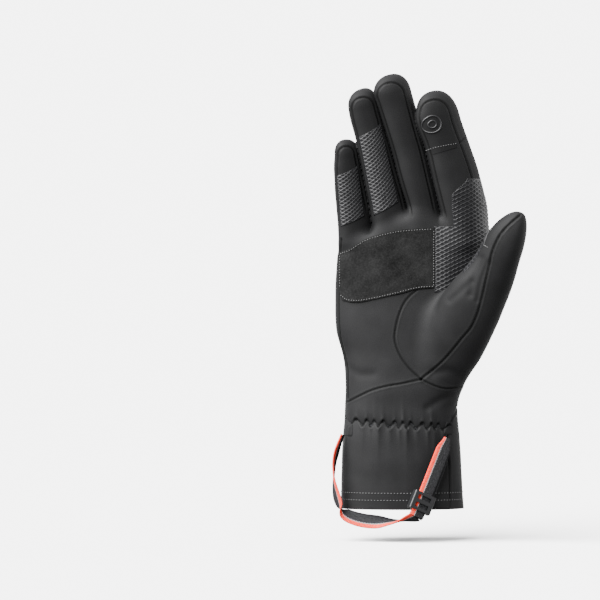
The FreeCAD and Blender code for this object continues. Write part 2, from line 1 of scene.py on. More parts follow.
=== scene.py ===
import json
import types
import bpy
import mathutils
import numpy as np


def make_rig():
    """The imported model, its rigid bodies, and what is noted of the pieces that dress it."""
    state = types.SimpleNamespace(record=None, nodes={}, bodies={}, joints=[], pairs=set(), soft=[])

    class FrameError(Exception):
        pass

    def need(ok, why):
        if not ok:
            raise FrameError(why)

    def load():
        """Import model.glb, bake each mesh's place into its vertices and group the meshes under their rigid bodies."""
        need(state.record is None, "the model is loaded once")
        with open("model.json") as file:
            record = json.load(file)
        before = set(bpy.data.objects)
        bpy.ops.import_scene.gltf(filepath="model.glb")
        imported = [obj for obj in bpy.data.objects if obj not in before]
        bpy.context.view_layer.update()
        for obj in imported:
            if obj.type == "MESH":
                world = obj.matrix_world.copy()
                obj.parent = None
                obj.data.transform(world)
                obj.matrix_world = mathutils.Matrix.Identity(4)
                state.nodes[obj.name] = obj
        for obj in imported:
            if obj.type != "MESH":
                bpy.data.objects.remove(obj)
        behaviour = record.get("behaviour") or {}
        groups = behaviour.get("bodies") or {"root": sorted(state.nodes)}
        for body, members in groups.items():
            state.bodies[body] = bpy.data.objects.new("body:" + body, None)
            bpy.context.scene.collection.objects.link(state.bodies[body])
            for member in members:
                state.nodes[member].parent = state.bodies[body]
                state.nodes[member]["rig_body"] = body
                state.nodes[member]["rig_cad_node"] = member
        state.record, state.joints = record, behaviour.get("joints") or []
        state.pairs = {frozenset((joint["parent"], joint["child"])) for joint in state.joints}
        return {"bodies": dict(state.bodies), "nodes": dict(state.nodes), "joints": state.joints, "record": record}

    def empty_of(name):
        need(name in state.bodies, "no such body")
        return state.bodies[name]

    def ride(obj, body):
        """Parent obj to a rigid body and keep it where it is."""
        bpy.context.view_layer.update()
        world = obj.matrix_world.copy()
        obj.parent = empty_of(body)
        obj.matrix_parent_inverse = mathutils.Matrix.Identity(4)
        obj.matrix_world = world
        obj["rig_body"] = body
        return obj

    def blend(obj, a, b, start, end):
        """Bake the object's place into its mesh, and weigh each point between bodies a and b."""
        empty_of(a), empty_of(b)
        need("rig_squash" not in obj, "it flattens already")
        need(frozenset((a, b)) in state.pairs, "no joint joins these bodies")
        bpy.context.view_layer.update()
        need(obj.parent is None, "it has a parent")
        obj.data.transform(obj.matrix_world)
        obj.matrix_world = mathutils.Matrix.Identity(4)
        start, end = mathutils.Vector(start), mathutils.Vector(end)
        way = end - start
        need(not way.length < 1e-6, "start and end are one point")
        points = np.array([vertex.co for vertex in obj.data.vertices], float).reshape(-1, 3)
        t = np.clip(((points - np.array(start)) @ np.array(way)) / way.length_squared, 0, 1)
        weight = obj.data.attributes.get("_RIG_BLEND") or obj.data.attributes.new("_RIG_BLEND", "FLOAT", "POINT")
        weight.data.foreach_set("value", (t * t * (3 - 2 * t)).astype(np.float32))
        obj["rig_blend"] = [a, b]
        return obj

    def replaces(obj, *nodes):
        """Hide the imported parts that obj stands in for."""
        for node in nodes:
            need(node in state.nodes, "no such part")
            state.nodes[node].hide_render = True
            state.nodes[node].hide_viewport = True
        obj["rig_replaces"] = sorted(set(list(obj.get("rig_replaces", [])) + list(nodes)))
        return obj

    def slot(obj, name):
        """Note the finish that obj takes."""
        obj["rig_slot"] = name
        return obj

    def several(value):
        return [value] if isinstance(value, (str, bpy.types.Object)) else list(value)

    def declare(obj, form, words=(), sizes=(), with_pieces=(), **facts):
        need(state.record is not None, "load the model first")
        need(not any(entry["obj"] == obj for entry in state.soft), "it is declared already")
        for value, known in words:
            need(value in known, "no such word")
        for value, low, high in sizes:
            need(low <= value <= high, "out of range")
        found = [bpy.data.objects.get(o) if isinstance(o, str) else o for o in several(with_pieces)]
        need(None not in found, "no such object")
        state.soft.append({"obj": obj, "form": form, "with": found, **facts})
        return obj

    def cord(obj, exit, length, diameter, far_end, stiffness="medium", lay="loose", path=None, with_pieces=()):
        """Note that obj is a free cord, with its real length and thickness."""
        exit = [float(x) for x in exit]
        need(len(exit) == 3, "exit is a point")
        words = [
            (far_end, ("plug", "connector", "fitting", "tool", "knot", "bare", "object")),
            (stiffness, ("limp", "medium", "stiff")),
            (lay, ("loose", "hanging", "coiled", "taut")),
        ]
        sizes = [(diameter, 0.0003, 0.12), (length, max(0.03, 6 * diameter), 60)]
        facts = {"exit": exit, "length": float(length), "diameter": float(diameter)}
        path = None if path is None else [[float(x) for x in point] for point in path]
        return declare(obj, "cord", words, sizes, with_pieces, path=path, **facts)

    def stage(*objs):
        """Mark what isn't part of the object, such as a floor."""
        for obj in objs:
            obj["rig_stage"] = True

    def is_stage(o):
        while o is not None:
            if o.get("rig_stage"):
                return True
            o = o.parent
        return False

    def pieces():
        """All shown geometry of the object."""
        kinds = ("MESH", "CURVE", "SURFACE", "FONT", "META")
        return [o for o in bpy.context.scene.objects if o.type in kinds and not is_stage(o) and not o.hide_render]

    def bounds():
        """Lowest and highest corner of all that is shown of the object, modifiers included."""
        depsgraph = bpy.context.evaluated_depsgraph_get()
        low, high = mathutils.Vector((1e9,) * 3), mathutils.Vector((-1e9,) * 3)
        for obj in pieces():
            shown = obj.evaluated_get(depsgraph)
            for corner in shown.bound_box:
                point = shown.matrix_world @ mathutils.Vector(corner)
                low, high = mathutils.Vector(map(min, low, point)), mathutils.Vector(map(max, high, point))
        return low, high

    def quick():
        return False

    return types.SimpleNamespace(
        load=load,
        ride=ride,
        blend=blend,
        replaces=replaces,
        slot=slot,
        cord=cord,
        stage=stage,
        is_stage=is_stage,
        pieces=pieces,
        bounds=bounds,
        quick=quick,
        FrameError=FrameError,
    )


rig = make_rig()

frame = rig.load()

import json
import math

import bpy
import numpy as np
import openvdb
from mathutils import Vector

cad_lo, cad_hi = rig.bounds()

# A right-hand softshell ski glove. All shaping is done in millimetres in the frame of the CAD model:
# +Z runs to the fingertips, the palm faces -Y, the thumb is at +X. Meshes are made in metres.
MM = 0.001
FINGERS = ("index", "middle", "ring", "little")


def detail(quick, full):
    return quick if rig.quick() else full


VOXEL = detail(1.1, 0.72)


# ---------------------------------------------------------------- numbers
def blended_step(at, start, end):
    t = np.clip((at - start) / (end - start), 0, 1)
    return t * t * (3 - 2 * t)


def curve(table, column, at):
    """A smooth curve through one column of a table whose first column is the place along it."""
    knots, values = table[:, 0], table[:, column]
    slopes = np.gradient(values, knots)
    at = np.clip(at, knots[0], knots[-1])
    i = np.clip(np.searchsorted(knots, at) - 1, 0, len(knots) - 2)
    span = knots[i + 1] - knots[i]
    t = (at - knots[i]) / span
    return ((1 + 2 * t) * (1 - t) ** 2 * values[i] + t * (1 - t) ** 2 * span * slopes[i]
            + t * t * (3 - 2 * t) * values[i + 1] + t * t * (t - 1) * span * slopes[i + 1])


def smooth_min(a, b, width):
    h = np.clip(0.5 + 0.5 * (b - a) / width, 0, 1)
    return b * (1 - h) + a * h - width * h * (1 - h)


def smooth_max(a, b, width):
    return -smooth_min(-a, -b, width)


def squared(wave, power):
    """The sine or cosine of a loop that is a circle for power 1, and squarer below it."""
    return np.sign(wave) * np.abs(wave) ** power


def unit_rows(vectors):
    return vectors / np.maximum(np.linalg.norm(vectors, axis=1), 1e-12)[:, None]


def distances(line):
    """How far along a line of points each of them is."""
    return np.r_[0, np.cumsum(np.linalg.norm(np.diff(line, axis=0), axis=1))]


def net(first, second):
    """All pairs of two ranges as a grid, the first range down its rows."""
    return np.meshgrid(first, second, indexing="ij")


def waves(points, wavelength, seed, count=5):
    """Smooth noise between about -1 and 1: a few sine waves in seeded directions."""
    draw = np.random.default_rng(seed)
    total = np.zeros(len(points))
    for _ in range(count):
        heading = draw.normal(size=3)
        heading *= 2 * math.pi / (np.linalg.norm(heading) * wavelength * draw.uniform(0.7, 1.5))
        total += np.sin(points @ heading + draw.uniform(0, 2 * math.pi))
    return total / math.sqrt(2 * count)


def spread(line, step):
    """Points evenly along a smooth line through a few given ones, about a step apart."""
    line = np.asarray(line, float)
    along = distances(line)
    table = np.column_stack([along, line])
    fine = np.linspace(0, along[-1], max(2, int(along[-1] / (step / 4))))
    dense = np.column_stack([curve(table, c + 1, fine) for c in range(line.shape[1])])
    length = distances(dense)
    places = np.linspace(0, length[-1], max(2, int(round(length[-1] / step)) + 1))
    return np.column_stack([np.interp(places, length, dense[:, c]) for c in range(line.shape[1])])


def line_distance(x, z, line):
    """Distance from each point to a line through a few given points."""
    line = spread(line, 2.5)
    best = np.full(len(x), 1e6)
    for (ax, az), (bx, bz) in zip(line[:-1], line[1:]):
        dx, dz = bx - ax, bz - az
        t = np.clip(((x - ax) * dx + (z - az) * dz) / (dx * dx + dz * dz), 0, 1)
        best = np.minimum(best, np.hypot(x - ax - t * dx, z - az - t * dz))
    return best


# ---------------------------------------------------------------- the glove's outer form
# Hand: height, left edge, right edge, half depth.
HAND = np.array([
    (0, -40.0, 40.4, 24.4), (6, -39.9, 39.9, 24.5), (18, -39.7, 39.3, 24.4), (38, -39.4, 38.3, 24.1),
    (57, -37.9, 36.6, 23.0), (68, -37.3, 36.2, 22.3), (78, -37.0, 37.2, 21.8), (87, -37.2, 40.4, 21.0),
    (97, -38.0, 43.6, 20.4), (117, -43.0, 49.3, 19.3), (136, -43.9, 52.4, 18.2), (152, -43.4, 54.6, 17.4),
    (172, -42.1, 56.8, 15.2), (192, -40.9, 57.2, 12.4)])
# Top edge of the hand between the fingers: X, height.
WEB = np.array([(-42, 172), (-31, 176.5), (-19.5, 180.3), (-8, 186), (2.5, 192.3), (15, 192), (27.2, 188.5),
                (40, 186), (57, 180)], float)
HAND_ROUNDNESS = 2.35
DIGIT_ROUNDNESS = 2.2
BONES = {
    "index": ((45.5, 0, 176), (18.5, -8, 272.5)),
    "middle": ((19, 0, 176), (-8, -7, 283.8)),
    "ring": ((-5.6, 0, 176), (-25.6, -8, 274.4)),
    "little": ((-30.8, 0, 176), (-37.6, -8, 241.3)),
    "thumb": ((26, -8, 88), (76, -46, 192)),
}
# Left and right edges of the fingers as seen from the palm side: X, Z. Each finger's right edge passes
# a little behind the left edge of the next one, because their sections lean like shingles.
FINGER_EDGES = {
    "index": ([(28.2, 180), (25.3, 192.6), (19.7, 215.5), (14.4, 236.5), (8.7, 252), (7.4, 260)],
              [(57.2, 180), (55, 201.7), (51.7, 215.5), (48.2, 227.3), (42.2, 243.7), (38.4, 254)]),
    "middle": ([(5.6, 180), (3.9, 194.5), (-2, 215.5), (-7.2, 234.5), (-11.9, 249.6), (-18.8, 271)],
               [(29.4, 180), (26.6, 192.6), (21.3, 215.5), (16.4, 236.5), (12, 252), (6.6, 271)]),
    "ring": ([(-18.4, 176), (-21, 194), (-25, 215), (-29.7, 237), (-34.4, 256), (-35.4, 262)],
             [(7.4, 180), (4.6, 194.5), (-1.0, 215.5), (-6.4, 234.5), (-11, 249.6), (-14.6, 262)]),
    "little": ([(-42, 176), (-42.9, 192), (-44.3, 212), (-44.8, 225), (-44.3, 231)],
               [(-17.2, 176), (-20.8, 200), (-25.9, 223), (-27.4, 231)]),
}
FINGER_DEPTHS = {"index": (12.4, 11.2, 10), "middle": (11.4, 10.5, 9.6), "ring": (11.2, 10, 9.2),
                 "little": (9.8, 8.6, 8)}
SECTION_LEAN = 0.3
# The thumb: distance along its bone, left half width, right half width, half depth.
THUMB_TABLE = [(0, 13, 14, 11), (17, 19, 17.6, 13.8), (36, 22.4, 18.2, 15.2), (51, 22.4, 17.6, 15),
               (63, 20, 16.6, 14.2), (75, 16.2, 15.2, 13.6), (87, 14.3, 13.2, 13.2), (99, 14, 11.2, 12.4),
               (121.5, 11.5, 7.6, 10.4)]
# Length of the round tip, and of the round foot that is buried in the palm.
CAPS = {"index": 18, "middle": 12.5, "ring": 12, "little": 10.5, "thumb": 24}
FEET = {"index": 8, "middle": 8, "ring": 8, "little": 8, "thumb": 17}


class Digit:
    """A finger or the thumb: a tube along a bone. u runs to +X, v to the back of the hand, s to the tip."""

    def __init__(self, name):
        root, tip = (np.array(end, float) for end in BONES[name])
        self.name, self.root = name, root
        self.length = np.linalg.norm(tip - root)
        self.along = (tip - root) / self.length
        across = np.cross((0, 1, 0), self.along)
        self.across = across / np.linalg.norm(across)
        self.back = np.cross(self.along, self.across)
        if name == "thumb":
            table = np.array(THUMB_TABLE, float)
            self.left, self.right, self.depth = (table[:, [0, c]] for c in (1, 2, 3))
            self.lean = 0.0
        else:
            left_edge, right_edge = FINGER_EDGES[name]
            self.left, self.right = self.edge_table(left_edge, -1), self.edge_table(right_edge, 1)
            self.depth = np.column_stack([(0, self.length / 2, self.length), FINGER_DEPTHS[name]])
            self.lean = SECTION_LEAN
        self.cap = CAPS[name]
        self.foot = FEET[name]

    def edge_table(self, edge, side):
        """An outline in X and Z as distances along the bone and half widths on one side of it."""
        x, z = np.array(edge, float).T
        away = np.column_stack([x, np.interp(z, (176, 280), (0, -8)), z]) - self.root
        return np.column_stack([away @ self.along, side * (away @ self.across)])

    def local(self, points):
        away = points - self.root
        return away @ self.across, away @ self.back, away @ self.along

    def widths(self, s):
        return [curve(table, 1, s) for table in (self.left, self.right, self.depth)]

    def point(self, s):
        """A point of the bone, in metres."""
        return tuple((self.root + s * self.along) * MM)

    def field(self, points):
        u, v, s = self.local(points)
        left, right, depth = self.widths(s)
        v = v - self.lean * u
        over = np.maximum(s - (self.length - self.cap), 0)
        under = np.minimum(s, 0)
        n = DIGIT_ROUNDNESS
        share = (np.abs(u / np.where(u < 0, left, right)) ** n + np.abs(v / depth) ** n
                 + (over / self.cap) ** n + np.abs(under / self.foot) ** n) ** (1 / n)
        reach = np.sqrt(u * u + v * v + over * over + under * under)
        return reach * (1 - 1 / np.maximum(share, 1e-4))


digits = {name: Digit(name) for name in BONES}
thumb = digits["thumb"]


def palm_field(points):
    """The cuff, wrist and palm: a flattened tube that ends at the finger webs."""
    x, y, z = points.T
    left, right, depth = (curve(HAND, c, z) for c in (1, 2, 3))
    middle, half = (left + right) / 2, (right - left) / 2
    n = HAND_ROUNDNESS
    share = (np.abs((x - middle) / half) ** n + np.abs(y / depth) ** n) ** (1 / n)
    tube = np.hypot(x - middle, y) * (1 - 1 / np.maximum(share, 1e-4))
    return smooth_max(tube, (z - curve(WEB, 1, x)) * 0.9, 7)


def hand_field(points):
    """The palm with its four fingers, without the thumb."""
    palm = palm_field(points)
    fingers = [smooth_min(palm, digits[name].field(points), 5.5) for name in FINGERS]
    return np.minimum.reduce(fingers)


def glove_field(points):
    """The whole glove: the thumb melts into the palm at its root, and stands clear of it at its tip."""
    s = thumb.local(points)[2]
    width = 11 - 9.2 * blended_step(s, 34, 60)
    return smooth_min(hand_field(points), thumb.field(points), width)


def normals_of(field, points, step=0.35):
    slope = np.empty_like(points)
    for axis in range(3):
        shift = np.zeros(3)
        shift[axis] = step
        slope[:, axis] = field(points + shift) - field(points - shift)
    return unit_rows(slope)


def trace(field, origins, headings, reach=34.0):
    """Where rays that start inside a field leave it."""
    near, far = np.zeros(len(origins)), np.full(len(origins), float(reach))
    for _ in range(20):
        middle = (near + far) / 2
        inside = field(origins + headings * middle[:, None]) < 0
        near, far = np.where(inside, middle, near), np.where(inside, far, middle)
    return origins + headings * near[:, None]


# ---------------------------------------------------------------- seams and folds, drawn on the form
# Seams of the palm side, in X and Z.
WRIST_SEAM = [(-36.6, 69.2), (-29, 73.2), (-20.3, 77.3), (-9, 80.4), (0, 82), (11.8, 84.6)]
WRIST_SEAM_THUMB = [(11.8, 84.6), (19.7, 80.8), (26.2, 78.8), (38.4, 79.3)]
GUSSET_SEAM = [(9.6, 143), (2.4, 136.2), (-1.8, 128), (-4.3, 118.9), (-5.2, 111.4), (-2.9, 102.8), (4, 92),
               (11.8, 84.6)]
THUMB_SEAM = [(74.5, 190.6), (68.5, 185.5), (61.6, 178), (57, 168.3), (54.6, 158), (52.4, 147.4),
              (50.2, 137), (47.2, 126.4), (43.4, 118), (38, 111.4), (24.9, 95.6), (11.8, 84.6)]
ULNAR_SEAM = [(-35.3, 72), (-35.5, 84), (-36.6, 96), (-40.4, 113), (-41.7, 130), (-41.7, 145), (-40.9, 160),
              (-40, 176)]
CUFF_SEAM = [(36.2, 66.2), (31.6, 57), (29.8, 50), (30.2, 30), (31, -2)]
# Seams of the back, in X and Z.
RADIAL_SEAM = [(44, 207), (43.2, 195), (43.6, 180), (44.2, 160), (43.2, 135), (40.8, 110), (37, 92),
               (36, 66), (36.5, -2)]
LEAF_SEAM = [(43.4, 187), (50, 174), (54.2, 157), (53, 141), (48, 120), (41.4, 108)]
# Wide soft creases of the palm side: line, half width, depth.
CREASES = [
    ([(15, 12), (26, 40)], 8.5, 0.75),
    ([(49, 163), (45.5, 152), (43, 140)], 2.6, 0.9),
    ([(54, 160), (49.5, 148), (47.5, 136)], 1.8, 0.6),
    ([(30, 136), (36, 141), (43, 148)], 2.2, 0.5),
    ([(38, 86), (30, 90), (20, 89)], 3.0, 0.8),
    ([(36, 75), (26, 72), (16, 66)], 2.6, 0.8),
    ([(-36, 92), (-28, 88), (-20, 88)], 3.0, 0.4),
]
# Gathers: height of the elastic at its left end, its fall to the right, swing and pitch of its zigzag.
ELASTIC_HEIGHT, ELASTIC_FALL, ZIGZAG_SWING, GATHER_PITCH = 57.0, 0.055, 2.2, 6.1
ELASTIC_LEFT, GATHER_LEFT, GATHER_RIGHT = -36.0, -38.0, 31.0


def groove(distance, depth=0.62, half_width=0.6):
    """A sewn seam: a narrow valley between two slightly raised edges."""
    return (-depth * np.exp(-(distance / half_width) ** 2)
            + 0.3 * depth * np.exp(-((distance - 1.7 * half_width) / (0.9 * half_width)) ** 2))


def gathers(points, front):
    """The elastic puckers the palm side of the wrist into short folds that zigzag along its line.

    Gives the height of the folds, and how much of each point lies in the pinched line, which is painted darker as
    shade.
    """
    x, z = points[:, 0], points[:, 2]
    turn = 2 * math.pi * (x + 0.9 * np.sin(x * 0.31)) / GATHER_PITCH
    begun = blended_step(x, GATHER_LEFT - 2, GATHER_LEFT + 3)
    weight = front * begun * (1 - blended_step(x, GATHER_RIGHT - 2, GATHER_RIGHT + 2))
    height = z - ELASTIC_HEIGHT + ELASTIC_FALL * (x - ELASTIC_LEFT) - ZIGZAG_SWING * np.cos(turn)
    above, below = np.maximum(height, 0), np.maximum(-height, 0)
    folds = np.cos(turn) * np.where(height > 0, np.exp(-above / 3.4), -np.exp(-below / 4.4))
    fan = x - 0.22 * (x + 4) * np.tanh(below / 30) + 0.12 * above
    long_folds = np.sin(fan * 0.41 + 1.1) + 0.7 * np.sin(fan * 0.73 + 0.4)
    folds = folds + 0.38 * long_folds * np.where(height > 0, np.exp(-above / 6), np.exp(-below / 13))
    pinch = np.exp(-(height / 0.85) ** 2) + 0.5 * np.exp(-(height / 4.5) ** 2)
    return weight * (folds - pinch), weight * np.exp(-(height / 0.75) ** 2)


# The palm panel of a finger: its distances in from the left edge, the right edge and the tip.
PANEL_INSETS = {"index": (2.2, 6.2, 5.6), "middle": (1.5, 5.2, 5.4), "ring": (1.9, 3.6, 5.6),
                "little": (2.1, 3.4, 4.4)}
INDEX_CROSS_SEAM = [(37.6, 238.6), (40, 241.5), (43.5, 244.4)]
# Seams of a finger fade in at its root, and those of its back fade out below its tip.
SEAM_START, SEAM_END = (15, 23), (16, 9)


def finger_outline(digit, points):
    """Distance inside the outline of a finger's palm panel, which stops short of the tip and the sides."""
    u, _, s = digit.local(points)
    left, right, _ = digit.widths(s)
    inset_left, inset_right, inset_tip = PANEL_INSETS[digit.name]
    low, high, top = -(left - inset_left), right - inset_right, digit.length - inset_tip
    middle, half = (low + high) / 2, (high - low) / 2
    corner = half * 0.96
    dx = np.abs(u - middle) - (half - corner)
    dz = s - (top - corner)
    outside = np.hypot(np.maximum(dx, 0), np.maximum(dz, 0)) + np.minimum(np.maximum(dx, dz), 0) - corner
    return -outside


def soft_folds(points, normals):
    """Slow unevenness of a thin worn fabric, and its creases."""
    x, z = points[:, 0], points[:, 2]
    front = blended_step(-normals[:, 1], -0.1, 0.3)
    height = 0.28 * waves(points, 46, 11) + 0.1 * waves(points, 17, 12)
    for line, half_width, depth in CREASES:
        height = height - front * depth * np.exp(-(line_distance(x, z, line) / half_width) ** 2)
    return height + gathers(points, front)[0]


def seam_grooves_and_shade(points, normals):
    """Height of the sewn seams, and how much of each point lies in one, or in the elastic's pinched line: painted
    shade for the fabric's colour.
    """
    x, z = points[:, 0], points[:, 2]
    front, rear = (blended_step(facing, -0.05, 0.12) for facing in (-normals[:, 1], normals[:, 1]))
    on_thumb = (thumb.field(points) < hand_field(points)) & (thumb.local(points)[2] > 2)
    height, dark = np.zeros(len(x)), np.zeros(len(x))

    def add(distance, weight, depth=0.62, half_width=0.6):
        nonlocal height, dark
        height = height + weight * groove(distance, depth, half_width)
        # Painted shade in the groove, strongest at the seam's middle.
        dark = np.maximum(dark, weight * np.exp(-(distance / (half_width * 0.95)) ** 2))

    for line in (WRIST_SEAM, WRIST_SEAM_THUMB, CUFF_SEAM):
        add(line_distance(x, z, line), front)
    add(line_distance(x, z, GUSSET_SEAM), front * (z < 143))
    add(line_distance(x, z, THUMB_SEAM), front * ((x > 11) & (on_thumb | (z < 112))), 0.8, 0.7)
    add(line_distance(x, z, ULNAR_SEAM), front * (x < -20))
    for line in (RADIAL_SEAM, LEAF_SEAM):
        add(line_distance(x, z, line), rear * ~on_thumb)
    for name in FINGERS:
        digit = digits[name]
        u, v, s = digit.local(points)
        inside = finger_outline(digit, points)
        near = blended_step(s, *SEAM_START) * (np.abs(digit.field(points)) < 2.6)
        add(np.abs(inside), near * front * (v < 2))
        left, right, _ = digit.widths(s)
        side = np.minimum(np.abs(u + 0.84 * left), np.abs(u - 0.84 * right))
        ended = blended_step(s, *(digit.length - before for before in SEAM_END))
        add(side, near * rear * (v > -2) * (1 - ended), 0.45, 0.5)
    index = digits["index"]
    off_panel = (np.abs(index.field(points)) < 2.6) & (finger_outline(index, points) < 0.5)
    add(line_distance(x, z, INDEX_CROSS_SEAM), front * off_panel, 0.5, 0.5)
    # The elastic's pinched line takes painted shade too.
    return height, np.maximum(dark, 0.75 * gathers(points, front)[1])


def draped(points, normals, lift):
    """Points laid on the finished surface of the fabric, at a height above it."""
    return points + normals * (soft_folds(points, normals) + lift)[:, None]


# ---------------------------------------------------------------- meshes
def new_piece(name, points, faces, material, channels=None, normals=None):
    """A smooth mesh made from points in millimetres; channels are numbers kept on its points."""
    mesh = bpy.data.meshes.new(name)
    mesh.from_pydata((points * MM).tolist(), [], faces if isinstance(faces, list) else faces.tolist())
    mesh.shade_smooth()
    for key, values in (channels or {}).items():
        mesh.attributes.new(key, "FLOAT", "POINT").data.foreach_set("value", values.astype(np.float32))
    mesh.materials.append(material)
    if normals is not None:
        mesh.normals_split_custom_set_from_vertices(normals.tolist())
    obj = bpy.data.objects.new(name, mesh)
    bpy.context.scene.collection.objects.link(obj)
    return obj


def grid_faces(rows, columns, closed=False):
    """Quads of a grid of points; closed joins its last column to its first."""
    row, left = net(np.arange(rows - 1) * columns, np.arange(columns if closed else columns - 1))
    right = (left + 1) % columns
    above = row + columns
    return np.stack([row + left, row + right, above + right, above + left], -1).reshape(-1, 4)


def glove_surface():
    """The glove's outer surface as one even net of quads, with its true normals.

    The field is sampled coarsely first, and finely only near the surface.
    """
    low, high = np.array([-53.0, -66.0, -9.0]), np.array([90.0, 31.0, 291.0])
    count = np.ceil((high - low) / VOXEL).astype(int)
    coarse, far = 6, 9.0
    axes = [low[a] + VOXEL * np.arange(count[a] + 1) for a in range(3)]
    rough_axes = [axis[::coarse] for axis in axes]
    rough_points = np.stack(np.meshgrid(*rough_axes, indexing="ij"), -1).reshape(-1, 3)
    rough = glove_field(rough_points).reshape([len(axis) for axis in rough_axes])
    for axis in range(3):
        rough = np.repeat(rough, coarse, axis)
    rough = rough[tuple(slice(0, len(axis)) for axis in axes)]
    values = np.where(rough > 0, far, -far).astype(np.float32)
    near = np.argwhere(np.abs(rough) < VOXEL * coarse * 1.9)
    for part in np.array_split(near, max(1, len(near) // 400000)):
        values[tuple(part.T)] = glove_field(low + VOXEL * part)
    grid = openvdb.FloatGrid(background=far)
    grid.copyFromArray(values)
    points, faces = grid.convertToQuads(isovalue=0.0)
    points = low + VOXEL * points.astype(float)
    faces = faces.astype(int)
    for _ in range(2):
        normals = normals_of(glove_field, points)
        points = points - normals * np.clip(glove_field(points), -0.4, 0.4)[:, None] * 0.8
    keep = points[faces][:, :, 2].mean(1) > 0
    return points, normals_of(glove_field, points), faces[keep]


def smooth_normals(points, faces):
    """The normal at each point, from the quads round it."""
    corners = points[faces]
    face_normals = np.cross(corners[:, 2] - corners[:, 0], corners[:, 3] - corners[:, 1])
    total = np.zeros_like(points)
    for c in range(4):
        np.add.at(total, faces[:, c], face_normals)
    return unit_rows(total)


def part_of(faces, wanted):
    """The old numbers of the points that the wanted faces use, and those faces in new numbers."""
    chosen = faces[wanted]
    used, flat = np.unique(chosen, return_inverse=True)
    return used, flat.reshape(chosen.shape)


# ---------------------------------------------------------------- materials
def new_material(name, roughness, specular=0.02):
    material = bpy.data.materials.new(name)
    material.use_nodes = True
    tree = material.node_tree
    shader = tree.nodes["Principled BSDF"]
    shader.inputs["Roughness"].default_value = roughness
    shader.inputs["Specular IOR Level"].default_value = specular
    return material, tree.nodes, tree.links, shader


def node(nodes, kind, **inputs):
    made = nodes.new(kind)
    for key, value in inputs.items():
        made.inputs[key].default_value = value
    return made


def feed(links, socket, source):
    """Links another node's output into a socket, or gives the socket a plain value."""
    if isinstance(source, bpy.types.NodeSocket):
        links.new(source, socket)
    else:
        socket.default_value = source


def ramp(nodes, links, source, low, dark, high, light):
    """Dark where the source is below low, light where it is above high."""
    made = nodes.new("ShaderNodeValToRGB")
    for element, place, colour in zip(made.color_ramp.elements, (low, high), (dark, light)):
        element.position = place
        element.color = (*colour, 1)
    links.new(source, made.inputs["Fac"])
    return made.outputs["Color"]


def mixed(nodes, links, share, first, second, blend="MIX"):
    made = nodes.new("ShaderNodeMix")
    made.data_type = "RGBA"
    made.blend_type = blend
    for key, source in (("Factor", share), ("A", first), ("B", second)):
        feed(links, made.inputs[key], source)
    return made.outputs["Result"]


def maths(nodes, links, operation, first, second=0.0):
    made = nodes.new("ShaderNodeMath")
    made.operation = operation
    feed(links, made.inputs[0], first)
    feed(links, made.inputs[1], second)
    return made.outputs["Value"]


def channel(nodes, name):
    made = nodes.new("ShaderNodeAttribute")
    made.attribute_name = name
    return made.outputs["Fac"]


def bumped(nodes, links, shader, heights):
    """Adds bumps one on another: each is a socket, its strength and its depth in metres."""
    target = shader.inputs["Normal"]
    for source, strength, depth in reversed(heights):
        bump = node(nodes, "ShaderNodeBump", Strength=strength, Distance=depth)
        links.new(source, bump.inputs["Height"])
        links.new(bump.outputs["Normal"], target)
        target = bump.inputs["Normal"]


def place_noise(nodes, links, scale, detail_levels=4.0, roughness=0.55):
    noise = node(nodes, "ShaderNodeTexNoise", Scale=scale, Detail=detail_levels, Roughness=roughness)
    links.new(nodes.new("ShaderNodeTexCoord").outputs["Object"], noise.inputs["Vector"])
    return noise.outputs["Fac"]


def knit_height(nodes, links, pitch):
    """A fine knitted face: columns of small loops, crossed with a diagonal twill."""
    place = nodes.new("ShaderNodeTexCoord").outputs["Object"]
    heights = []
    for turn in (0.0, math.radians(58)):
        mapping = node(nodes, "ShaderNodeMapping", Rotation=(0, turn, 0))
        links.new(place, mapping.inputs["Vector"])
        wave = node(nodes, "ShaderNodeTexWave", Scale=1 / pitch / 3.2, Distortion=0.6, Detail=1.0)
        wave.bands_direction = "X"
        links.new(mapping.outputs["Vector"], wave.inputs["Vector"])
        heights.append(wave.outputs["Fac"])
    return maths(nodes, links, "ADD", *heights)


def softshell(name, dark, light):
    """The glove's fabric; a channel of painted shade darkens its seams' grooves and the elastic's pinched line."""
    material, nodes, links, shader = new_material(name, 0.6, specular=0.012)
    cloth = ramp(nodes, links, place_noise(nodes, links, 55, 5), 0.3, dark, 0.7, light)
    # Painted shade: near black in the seams' grooves and the elastic's pinch.
    colour = mixed(nodes, links, channel(nodes, "painted_seam_shade"), cloth, (0.0003, 0.0003, 0.0003, 1))
    links.new(colour, shader.inputs["Base Color"])
    bumped(nodes, links, shader, [(place_noise(nodes, links, 2600, 2), 0.35, 0.0002),
                                  (knit_height(nodes, links, 0.0007), 0.3, 0.00006)])
    return material


def suede():
    """Matt and blotchy, with a pale nap."""
    material, nodes, links, shader = new_material("suede", 0.9, specular=0.006)
    blotches = place_noise(nodes, links, 75, 6, 0.62)
    nap = place_noise(nodes, links, 900, 4, 0.7)
    base = ramp(nodes, links, blotches, 0.3, (0.0005, 0.0005, 0.0005), 0.7, (0.0014, 0.0014, 0.0014))
    flecks = ramp(nodes, links, nap, 0.42, (0, 0, 0), 0.75, (0.0028, 0.0028, 0.0028))
    links.new(mixed(nodes, links, 0.35, base, flecks, "ADD"), shader.inputs["Base Color"])
    bumped(nodes, links, shader, [(blotches, 0.35, 0.0006), (nap, 0.6, 0.0004)])
    return material


